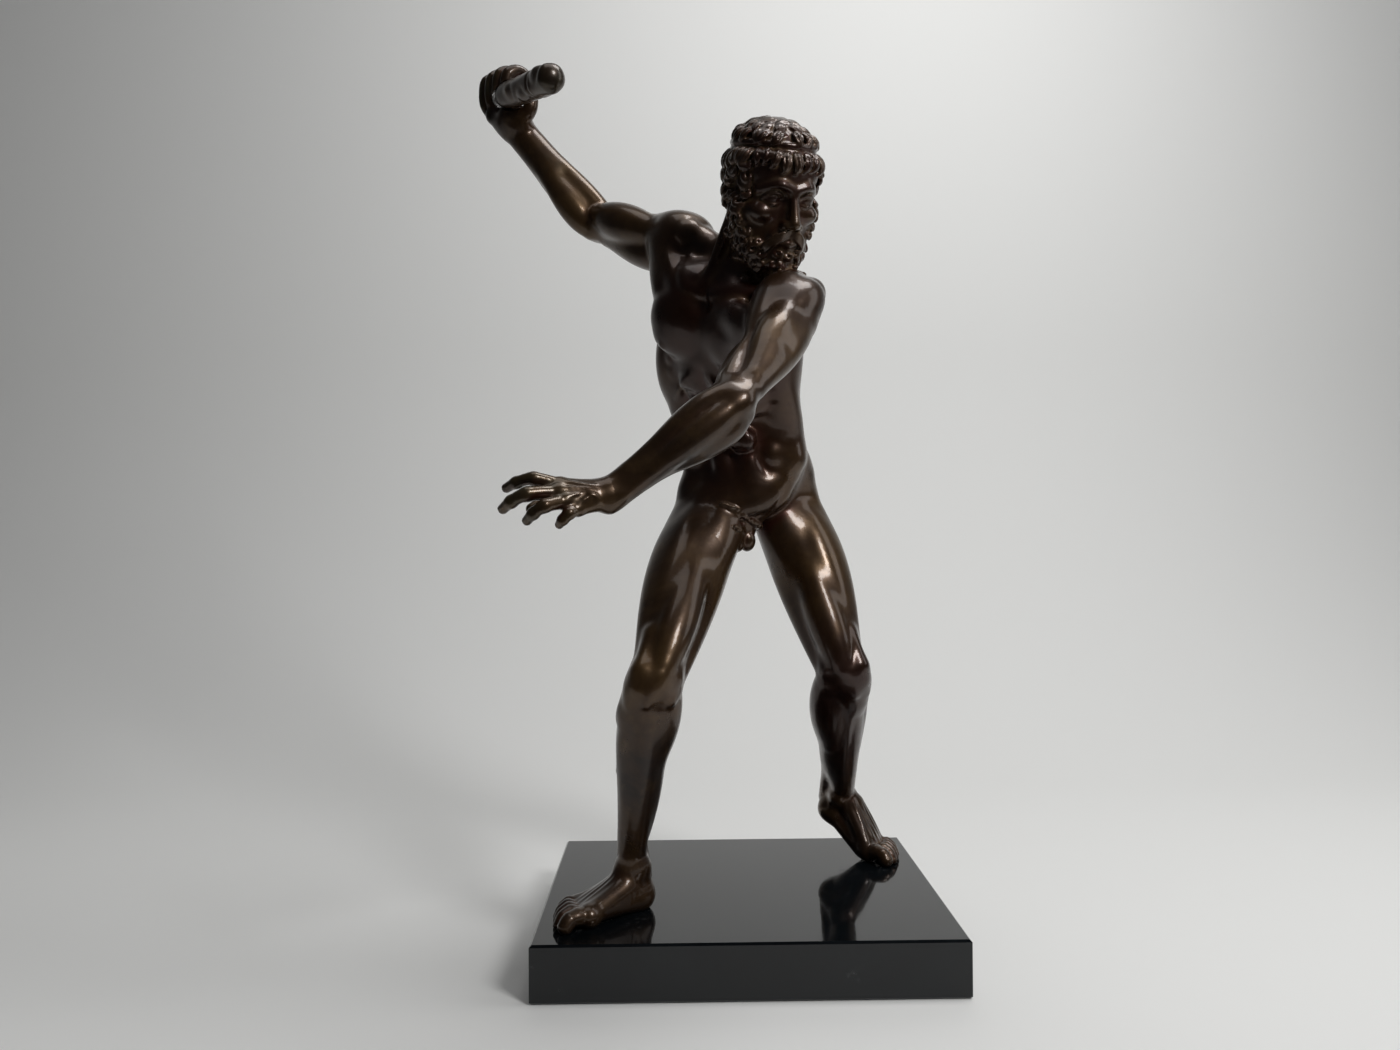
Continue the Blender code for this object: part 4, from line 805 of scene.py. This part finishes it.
for joint, tip, r in toesR + toesL:
    nail(joint, tip, r * 0.9, vec(0, 0, 1))
for i, joints in enumerate(knuckles):
    way = unit(joints[3] - joints[2])
    back = vec(-0.15, -0.75, 0.6)
    nail(joints[2], joints[3], fingerRadius[i] * 0.8, unit(back - way * (back @ way)))
    tendon = [wristL + vec(-4, -7, 2.5) + vec(0, -0.5, -2.6) * i, (wristL + joints[0]) / 2 + vec(0, -6.4, 2.4),
              joints[0] + vec(0, -3.2, 1.8)]
    crease(tendon, 1.1, -0.7, 0.2)
# Veins on the forearms
veins = (((0.1, -6, 7), (0.3, -4, 9.5), (0.52, -5, 8), (0.78, -5, 5)),
         ((0.3, -4, 9.5), (0.45, 1, 10), (0.62, 1, 8.5), (0.85, -1, 7)))
for path in veins:
    for limb in (foreL, foreR):
        tube([limb.at(*q) for q in path], [0.75, 0.9, 0.8], 1.2)
say(f"{len(strokes)} strokes")


# Meshes: the body, and finer balls cut from it round the head, hands, feet and groin
regions = {
    "head": {"centre": (13, -80, 385), "radius": 45, "cell": 0.63},
    "left_hand": {"centre": (-95, -155, 220), "radius": 34, "cell": 0.6},
    "right_hand": {"centre": (-140, 10, 473), "radius": 30, "cell": 0.6},
    "right_foot": {"centre": (-76, -54, 8), "radius": 42, "cell": 0.65},
    "left_foot": {"centre": (82, 46, 14), "radius": 40, "cell": 0.65},
    "groin": {"centre": (3, -27, 214), "radius": 27, "cell": 0.65},
}
bodyCell = 1.4
overlap = 6.0  # how far the balls and the body reach into each other
sink = 0.15


# The grid's value at points, weighed from the eight around each
def lookUp(grid, lo, cell, points):
    q = np.clip((points - lo) / cell, 0, np.array(grid.shape) - 1.001)
    i = q.astype(int)
    f = (q - i).astype(np.float32)
    total = np.zeros(len(points), np.float32)
    for dx in (0, 1):
        for dy in (0, 1):
            for dz in (0, 1):
                wx = f[:, 0] if dx else 1 - f[:, 0]
                wy = f[:, 1] if dy else 1 - f[:, 1]
                wz = f[:, 2] if dz else 1 - f[:, 2]
                total += wx * wy * wz * grid[i[:, 0] + dx, i[:, 1] + dy, i[:, 2] + dz]
    return total


relief = {"fine": 1.5, "broad": 5.5}
stainsAndShade = {
    "green": ((vec(-100, -158, 222), 17), (vec(-112, 2, 430), 9), (vec(-148, 20, 478), 12)),
    # The third kind is painted shade, not a stain: dark red-brown on the chest, brow, upper belly and left
    # shin, where these turn from the light or lie in the left forearm's shadow
    "paintedShade": ((vec(-14, -62, 312), 46), (vec(14, -112, 392), 26), (vec(-20, -40, 262), 30),
            (vec(60, -14, 95), 46)),
    "soil": ((vec(-84, -58, 4), 40), (vec(96, 40, 6), 30), (vec(2, -26, 208), 17), (vec(13, -86, 376), 46)),
}


# Write how hollow, how sunken and how raised each place is, where stains lie and where shade is painted, for
# the bronze to use
def paintRelief(mesh, points, grid, lo, cell):
    step = np.eye(3) * cell
    n = np.stack([lookUp(grid, lo, cell, points + s) - lookUp(grid, lo, cell, points - s) for s in step], 1)
    n /= np.linalg.norm(n, axis=1, keepdims=True) + 1e-6
    fine, broad = relief["fine"], relief["broad"]
    hollow = np.clip(1 - lookUp(grid, lo, cell, points + n * fine) / fine, 0, 1)
    valley = np.clip(1 - lookUp(grid, lo, cell, points + n * broad) / broad, 0, 1)
    raised = np.clip(1 + lookUp(grid, lo, cell, points - n * fine) / fine, 0, 1)
    one = mesh.attributes.new("relief", "FLOAT_COLOR", "POINT")
    one.data.foreach_set("color", np.stack([hollow, valley, raised, np.ones_like(hollow)], 1).ravel())
    spots = []
    for kind in ("green", "soil", "paintedShade"):
        near = np.zeros(len(points), np.float32)
        for centre, radius in stainsAndShade[kind]:
            near = np.maximum(near, np.exp(-(np.linalg.norm(points - centre, axis=1) / radius) ** 2))
        spots.append(near)
    # Channels: green stain, soil, and the painted shade
    two = mesh.attributes.new("stainAndShade", "FLOAT_COLOR", "POINT")
    two.data.foreach_set("color", np.stack(spots + [np.ones_like(hollow)], 1).ravel())


# The clay's surface inside a ball, or outside of several, as a mesh
def surface(name, lo, hi, cell, ball=None, holes=()):
    lo = np.array(lo, float)
    hi = np.array(hi, float)
    whole = sample(lo, hi, cell)
    grid = whole
    x, y, z = [lo[i] + cell * np.arange(grid.shape[i]) for i in range(3)]
    x, y, z = x[:, None, None], y[None, :, None], z[None, None, :]

    def far(c):
        return np.sqrt((x - c[0]) ** 2 + (y - c[1]) ** 2 + (z - c[2]) ** 2)

    # Where two pieces overlap, each dips a little under the other so that no rim shows
    rims = [far(ball["centre"]) - ball["radius"]] if ball else []
    rims += [hole["radius"] - overlap - far(hole["centre"]) for hole in holes]
    for rim in rims:
        grid = np.maximum(grid + sink * np.clip(1 + rim / overlap, 0, 1) ** 2, rim)
    grid = np.maximum(grid, -z).astype(np.float32)
    volume = openvdb.FloatGrid(9.0)
    volume.copyFromArray(grid)
    points, tris, quads = volume.convertToPolygons(0.0, 0.0)
    points = lo + np.array(points) * cell
    faces = [[int(i) for i in q][::-1] for q in quads] + [[int(i) for i in t][::-1] for t in tris]
    mesh = bpy.data.meshes.new(name)
    mesh.from_pydata((points * part + (0, 0, lift)).tolist(), [], faces)
    mesh.polygons.foreach_set("use_smooth", [True] * len(mesh.polygons))
    paintRelief(mesh, points, whole, lo, cell)
    obj = bpy.data.objects.new(name, mesh)
    bpy.context.scene.collection.objects.link(obj)
    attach(obj, "root")
    say(f"{name}: {len(faces)} faces")
    return obj


every = np.array([[s[2], s[3]] for s in strokes if s[0] == "add"])
low, high = every[:, 0].min(0) - 4, every[:, 1].max(0) + 4
figurePieces = [surface("body", low, high, bodyCell, holes=regions.values())]
for name, r in regions.items():
    c = np.array(r["centre"], float)
    figurePieces.append(surface(name, c - r["radius"] - 2, c + r["radius"] + 2, r["cell"], r))
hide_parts("figure")


# The club: a rough-hewn branch, turned along the club's line with a ring, knots and a domed end
clubLook = {
    "rings": 150,
    "sides": 72,
    "crease": (0.775, 0.010, 0.55),  # place along, width and depth
    "knots": ((0.56, 70, 0.055, 0.75), (0.66, 250, 0.05, 0.7), (0.86, 150, 0.05, 0.8),
              (0.83, 330, 0.06, 0.6), (0.5, 190, 0.05, 0.6)),  # place along, turn, width and height
    "flats": 0.16,
}


def branch():
    length = np.linalg.norm(clubB - clubA)
    count, sides = clubLook["rings"], clubLook["sides"]
    ringAt, ringWide, ringDeep = clubLook["crease"]
    verts, tones = [], []
    for i in range(count + 1):
        t = 0.5 - 0.5 * math.cos(math.pi * i / count)
        r0 = clubRadius(t)
        near = min(t, 1 - t) * length
        r = r0 * math.sqrt(max(0.0, 1 - (1 - min(1, near / (r0 * 0.86))) ** 2))
        dent = ringDeep * math.exp(-((t - ringAt) / ringWide) ** 2)
        lipUp = 0.35 * ringDeep * math.exp(-((t - ringAt - 2.4 * ringWide) / ringWide) ** 2)
        for j in range(sides):
            a = 2 * math.pi * j / sides
            knot = 0.0
            for place, turn, wide, high in clubLook["knots"]:
                d = math.hypot((t - place) / wide, math.sin((a - math.radians(turn)) / 2) * 2.6)
                knot += high * math.exp(-d * d * 2.2) - 0.35 * high * math.exp(-((d - 1.25) / 0.3) ** 2)
            free = min(1, max(0, (t - 0.42) / 0.08)) * min(1, max(0, (0.985 - t) / 0.05))
            flat = clubLook["flats"] * (math.sin(5 * a + 9 * t) + 0.6 * math.sin(3 * a - 14 * t))
            rr = r + free * (knot + flat) - dent + lipUp if r > 1 else r
            p = clubA + (clubB - clubA) * t + (grip.left * math.cos(a) + grip.up * math.sin(a)) * rr
            verts.append(p)
            tones.append((min(1, dent * 1.4 + free * max(0, -knot) * 2), 0.1, min(1, free * max(0, knot)), 1))
    faces = []
    for i in range(count):
        for j in range(sides):
            k = (j + 1) % sides
            faces.append((i * sides + j, (i + 1) * sides + j, (i + 1) * sides + k, i * sides + k))
    verts = np.array(verts)
    mesh = bpy.data.meshes.new("club_branch")
    mesh.from_pydata((verts * part + (0, 0, lift)).tolist(), [], faces)
    mesh.polygons.foreach_set("use_smooth", [True] * len(faces))
    one = mesh.attributes.new("relief", "FLOAT_COLOR", "POINT")
    one.data.foreach_set("color", np.array(tones, float).ravel())
    green = np.exp(-(np.linalg.norm(verts - clubB, axis=1) / 14) ** 2) * 0.5
    # No painted shade on the club: the third channel stays empty
    stainAndShade = np.stack([green, green * 0.4, green * 0, green * 0 + 1], 1)
    two = mesh.attributes.new("stainAndShade", "FLOAT_COLOR", "POINT")
    two.data.foreach_set("color", stainAndShade.ravel())
    obj = bpy.data.objects.new("club_branch", mesh)
    bpy.context.scene.collection.objects.link(obj)
    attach(obj, "root")
    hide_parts("club")
    say(f"club: {len(faces)} faces")
    return obj


clubPiece = branch()


# Materials
def newMaterial(name):
    mat = bpy.data.materials.new(name)
    mat.use_nodes = True
    tree = mat.node_tree
    return mat, tree, tree.nodes["Principled BSDF"]


def node(tree, kind, values=None):
    n = tree.nodes.new(kind)
    for key, value in (values or {}).items():
        n.inputs[key].default_value = value
    return n


def noise(tree, where, scale, detail=4.0, rough=0.6, warp=0.0):
    n = node(tree, "ShaderNodeTexNoise",
             {"Scale": scale, "Detail": detail, "Roughness": rough, "Distortion": warp})
    tree.links.new(where, n.inputs["Vector"])
    return n.outputs["Fac"]


def ramp(tree, source, stops):
    n = tree.nodes.new("ShaderNodeValToRGB")
    tree.links.new(source, n.inputs["Fac"])
    while len(n.color_ramp.elements) < len(stops):
        n.color_ramp.elements.new(0.5)
    for element, (place, colour) in zip(n.color_ramp.elements, stops):
        element.position = place
        element.color = (*colour, 1)
    return n.outputs["Color"]


# Stretches low to high out to lowTo to highTo
def span(tree, source, low, high, lowTo=0.0, highTo=1.0):
    n = node(tree, "ShaderNodeMapRange",
             {"From Min": low, "From Max": high, "To Min": lowTo, "To Max": highTo})
    tree.links.new(source, n.inputs["Value"])
    return n.outputs["Result"]


def sums(tree, kind, a, b):
    n = tree.nodes.new("ShaderNodeMath")
    n.operation = kind
    n.use_clamp = kind != "SUBTRACT"
    for socket, value in zip(n.inputs, (a, b)):
        if isinstance(value, float):
            socket.default_value = value
        else:
            tree.links.new(value, socket)
    return n.outputs["Value"]


def blend(tree, amount, under, over):
    n = tree.nodes.new("ShaderNodeMix")
    n.data_type = "RGBA"
    tree.links.new(amount, n.inputs["Factor"])
    for key, value in (("A", under), ("B", over)):
        socket = [s for s in n.inputs if s.name == key and s.type == "RGBA"][0]
        if isinstance(value, tuple):
            socket.default_value = (*value, 1)
        else:
            tree.links.new(value, socket)
    return [s for s in n.outputs if s.type == "RGBA"][0]


def channels(tree, name):
    got = tree.nodes.new("ShaderNodeAttribute")
    got.attribute_name = name
    cut = tree.nodes.new("ShaderNodeSeparateColor")
    tree.links.new(got.outputs["Color"], cut.inputs["Color"])
    return cut.outputs


bronzeLook = {
    "dark": (0.0125, 0.0052, 0.0024),
    "mid": (0.047, 0.0225, 0.0080),
    "warm": (0.098, 0.054, 0.019),
    "paintedShade": (0.021, 0.0042, 0.0022),
    # Near-black red-brown used as painted shade
    "depth": (0.048, 0.0088, 0.0040),
    "dirt": (0.105, 0.066, 0.03),
    "rub": (0.105, 0.068, 0.042),
    "green": (0.034, 0.042, 0.026),
    "metallic": 0.6,
    "rough": (0.27, 0.41),
    "specular": 0.6,
    "coat": 0.42,
    "coatRough": 0.1,
}


def bronze(name, look):
    mat, tree, shader = newMaterial(name)
    where = node(tree, "ShaderNodeTexCoord").outputs["Object"]
    hollow, valley, raised = channels(tree, "relief")[:3]
    green, soil, paintedShade = channels(tree, "stainAndShade")[:3]
    cloud = noise(tree, where, 11.0, 5.0, 0.62, 0.4)
    mottle = noise(tree, where, 60.0, 5.0, 0.65)
    grain = noise(tree, where, 420.0, 4.0, 0.6)
    colour = ramp(tree, cloud, ((0.34, look["dark"]), (0.5, look["mid"]), (0.68, look["warm"])))
    colour = blend(tree, span(tree, mottle, 0.52, 0.72, 0.0, 0.5), colour, look["warm"])
    # Painted shade: darkens towards near-black red-brown where the third stain channel is set
    colour = blend(tree, span(tree, paintedShade, 0.0, 0.5, 0.0, 0.8), colour, look["paintedShade"])
    colour = blend(tree, span(tree, valley, 0.08, 0.6, 0.0, 0.85), colour, look["depth"])
    patch = sums(tree, "MULTIPLY", green, span(tree, mottle, 0.38, 0.6))
    colour = blend(tree, sums(tree, "MULTIPLY", patch, 0.8), colour, look["green"])
    rub = sums(tree, "MULTIPLY", span(tree, raised, 0.12, 0.6), span(tree, mottle, 0.4, 0.65))
    colour = blend(tree, sums(tree, "MULTIPLY", rub, 0.55), colour, look["rub"])
    inside = sums(tree, "MULTIPLY", span(tree, hollow, 0.12, 0.6), span(tree, mottle, 0.3, 0.6, 0.35, 1.0))
    inside = sums(tree, "MULTIPLY", inside, span(tree, soil, 0.0, 0.6, 0.25, 1.0))
    colour = blend(tree, inside, colour, look["dirt"])
    tree.links.new(colour, shader.inputs["Base Color"])
    shader.inputs["Metallic"].default_value = look["metallic"]
    shader.inputs["Specular IOR Level"].default_value = look["specular"]
    low, high = look["rough"]
    rough = span(tree, noise(tree, where, 34.0, 5.0, 0.6), 0.35, 0.68, low, high)
    rough = sums(tree, "ADD", rough, sums(tree, "MULTIPLY", inside, 0.4))
    tree.links.new(rough, shader.inputs["Roughness"])
    shader.inputs["Coat Weight"].default_value = look["coat"]
    shader.inputs["Coat Roughness"].default_value = look["coatRough"]
    height = sums(tree, "ADD", sums(tree, "MULTIPLY", mottle, 0.8), sums(tree, "MULTIPLY", grain, 0.2))
    bump = node(tree, "ShaderNodeBump", {"Strength": 0.25, "Distance": 0.0006})
    tree.links.new(height, bump.inputs["Height"])
    tree.links.new(bump.outputs["Normal"], shader.inputs["Normal"])
    tree.links.new(bump.outputs["Normal"], shader.inputs["Coat Normal"])
    return mat


bronzeMat = bronze("bronze", bronzeLook)
for piece in figurePieces:
    piece.data.materials.append(bronzeMat)
clubBronzeLook = {**bronzeLook, "mid": (0.05, 0.029, 0.016), "rough": (0.3, 0.46)}
clubPiece.data.materials.append(bronze("club_bronze", clubBronzeLook))

marbleLook = {
    "black": (0.0022, 0.0030, 0.0038),
    "cloud": (0.006, 0.008, 0.0095),
    "dust": (0.05, 0.052, 0.053),
    "rough": (0.045, 0.1),
    "specular": 0.48,
}


def marble(name, look):
    mat, tree, shader = newMaterial(name)
    where = node(tree, "ShaderNodeTexCoord").outputs["Object"]
    cloud = noise(tree, where, 7.0, 8.0, 0.62, 1.5)
    colour = ramp(tree, cloud, ((0.42, look["black"]), (0.75, look["cloud"])))
    scuff = noise(tree, where, 26.0, 9.0, 0.72, 0.6)
    fleck = noise(tree, where, 330.0, 2.0, 0.5)
    dust = sums(tree, "MULTIPLY", span(tree, scuff, 0.6, 0.74), span(tree, fleck, 0.5, 0.72))
    colour = blend(tree, dust, colour, look["dust"])
    tree.links.new(colour, shader.inputs["Base Color"])
    low, high = look["rough"]
    rough = span(tree, scuff, 0.42, 0.7, low, high)
    tree.links.new(sums(tree, "ADD", rough, sums(tree, "MULTIPLY", dust, 0.35)), shader.inputs["Roughness"])
    shader.inputs["Specular IOR Level"].default_value = look["specular"]
    bump = node(tree, "ShaderNodeBump", {"Strength": 0.06, "Distance": 0.0002})
    tree.links.new(fleck, bump.inputs["Height"])
    tree.links.new(bump.outputs["Normal"], shader.inputs["Normal"])
    return mat


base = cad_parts["base"]
base.data.materials.clear()
base.data.materials.append(marble("marble", marbleLook))
say("materials")

# Floor, wall and light
room = {
    "colour": (0.80, 0.80, 0.785),
    "rough": 0.9,
    "wallY": 0.85,
    "bend": 0.5,
    "half": 2.2,
    "top": 2.6,
    "near": -0.3,
    "table": (0.045, 0.042, 0.038),
    "tableRough": 0.6,
    "tableEnd": -2.2,
    "air": (0.9, 0.93, 1.0),
    "airStrength": 0.03,
}


# A pale sweep: floor, a rounded bend and a wall behind
def backdrop():
    bend, flatEnd = room["bend"], room["wallY"] - room["bend"]
    line = [(room["near"], 0.0), (flatEnd, 0.0)]
    for i in range(1, 25):
        a = math.pi / 2 * i / 24
        line.append((flatEnd + bend * math.sin(a), bend * (1 - math.cos(a))))
    line.append((room["wallY"], room["top"]))
    verts = [(x, y, z - 0.0001) for y, z in line for x in (-room["half"], room["half"])]
    faces = [(2 * i, 2 * i + 1, 2 * i + 3, 2 * i + 2) for i in range(len(line) - 1)]
    # The dark table in front of the paper
    n = len(verts)
    verts += [(x, y, -0.002) for y in (room["tableEnd"], room["near"]) for x in (-room["half"], room["half"])]
    faces.append((n, n + 1, n + 3, n + 2))
    mesh = bpy.data.meshes.new("floor")
    mesh.from_pydata(verts, [], faces)
    mesh.polygons.foreach_set("use_smooth", [True] * (len(faces) - 1) + [False])
    mesh.polygons[len(faces) - 1].material_index = 1
    obj = bpy.data.objects.new("floor", mesh)
    bpy.context.scene.collection.objects.link(obj)
    mat, tree, shader = newMaterial("floor")
    shader.inputs["Base Color"].default_value = (*room["colour"], 1)
    shader.inputs["Roughness"].default_value = room["rough"]
    obj.data.materials.append(mat)
    mat, tree, shader = newMaterial("table")
    shader.inputs["Base Color"].default_value = (*room["table"], 1)
    shader.inputs["Roughness"].default_value = room["tableRough"]
    obj.data.materials.append(mat)
    return obj


backdrop()
lamps = {
    "key": {"at": (0.64, -0.9, 0.97), "aim": (0, -0.03, 0.27), "size": (0.3, 0.42), "watts": 8.5},
    "window": {"at": (0.95, -0.1, 0.75), "aim": (0, 0, 0.3), "size": (0.35, 0.9), "watts": 1.6},
    "wash": {"at": (0.38, 0.05, 1.35), "aim": (0.06, 0.8, 0.36), "size": (0.5, 0.5), "watts": 6.0},
    "top": {"at": (-0.1, -0.1, 1.5), "aim": (-0.1, 0.1, 0.0), "size": (0.8, 0.8), "watts": 2.6},
}


# The turn that points -Z from at to aim
def look(at, aim):
    d = np.array(aim, float) - np.array(at, float)
    flat = math.hypot(d[0], d[1])
    return (math.atan2(flat, -d[2]), 0, math.atan2(d[1], d[0]) - math.pi / 2)


for name, lamp in lamps.items():
    light = bpy.data.lights.new(name, "AREA")
    light.shape = "RECTANGLE"
    light.size, light.size_y = lamp["size"]
    light.energy = lamp["watts"]
    obj = bpy.data.objects.new(name, light)
    obj.location = lamp["at"]
    obj.rotation_euler = look(lamp["at"], lamp["aim"])
    bpy.context.scene.collection.objects.link(obj)
say("room and lamps")

world = bpy.data.worlds.new("world")
bpy.context.scene.world = world
world.use_nodes = True
air = world.node_tree.nodes["Background"]
air.inputs["Color"].default_value = (*room["air"], 1)
air.inputs["Strength"].default_value = room["airStrength"]

# Camera
view = {
    "at": (-0.0353, -0.6253, 0.2365),
    "yaw": 0.0195,
    "pitch": 0.0097,
    "roll": 0.0057,
    "sensor": 36,
    "focal": 1052 / 1400,  # lens length as a share of the sensor's width
}
camera = bpy.data.cameras.new("camera")
camera.sensor_width = view["sensor"]
camera.lens = view["focal"] * view["sensor"]
camera.clip_start = 0.02
eye = bpy.data.objects.new("camera", camera)
eye.location = view["at"]
eye.rotation_euler = (math.pi / 2 + view["pitch"], view["roll"], -view["yaw"])
bpy.context.scene.collection.objects.link(eye)
bpy.context.scene.camera = eye
bpy.context.scene.view_settings.view_transform = "Standard"

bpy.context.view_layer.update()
say("done")
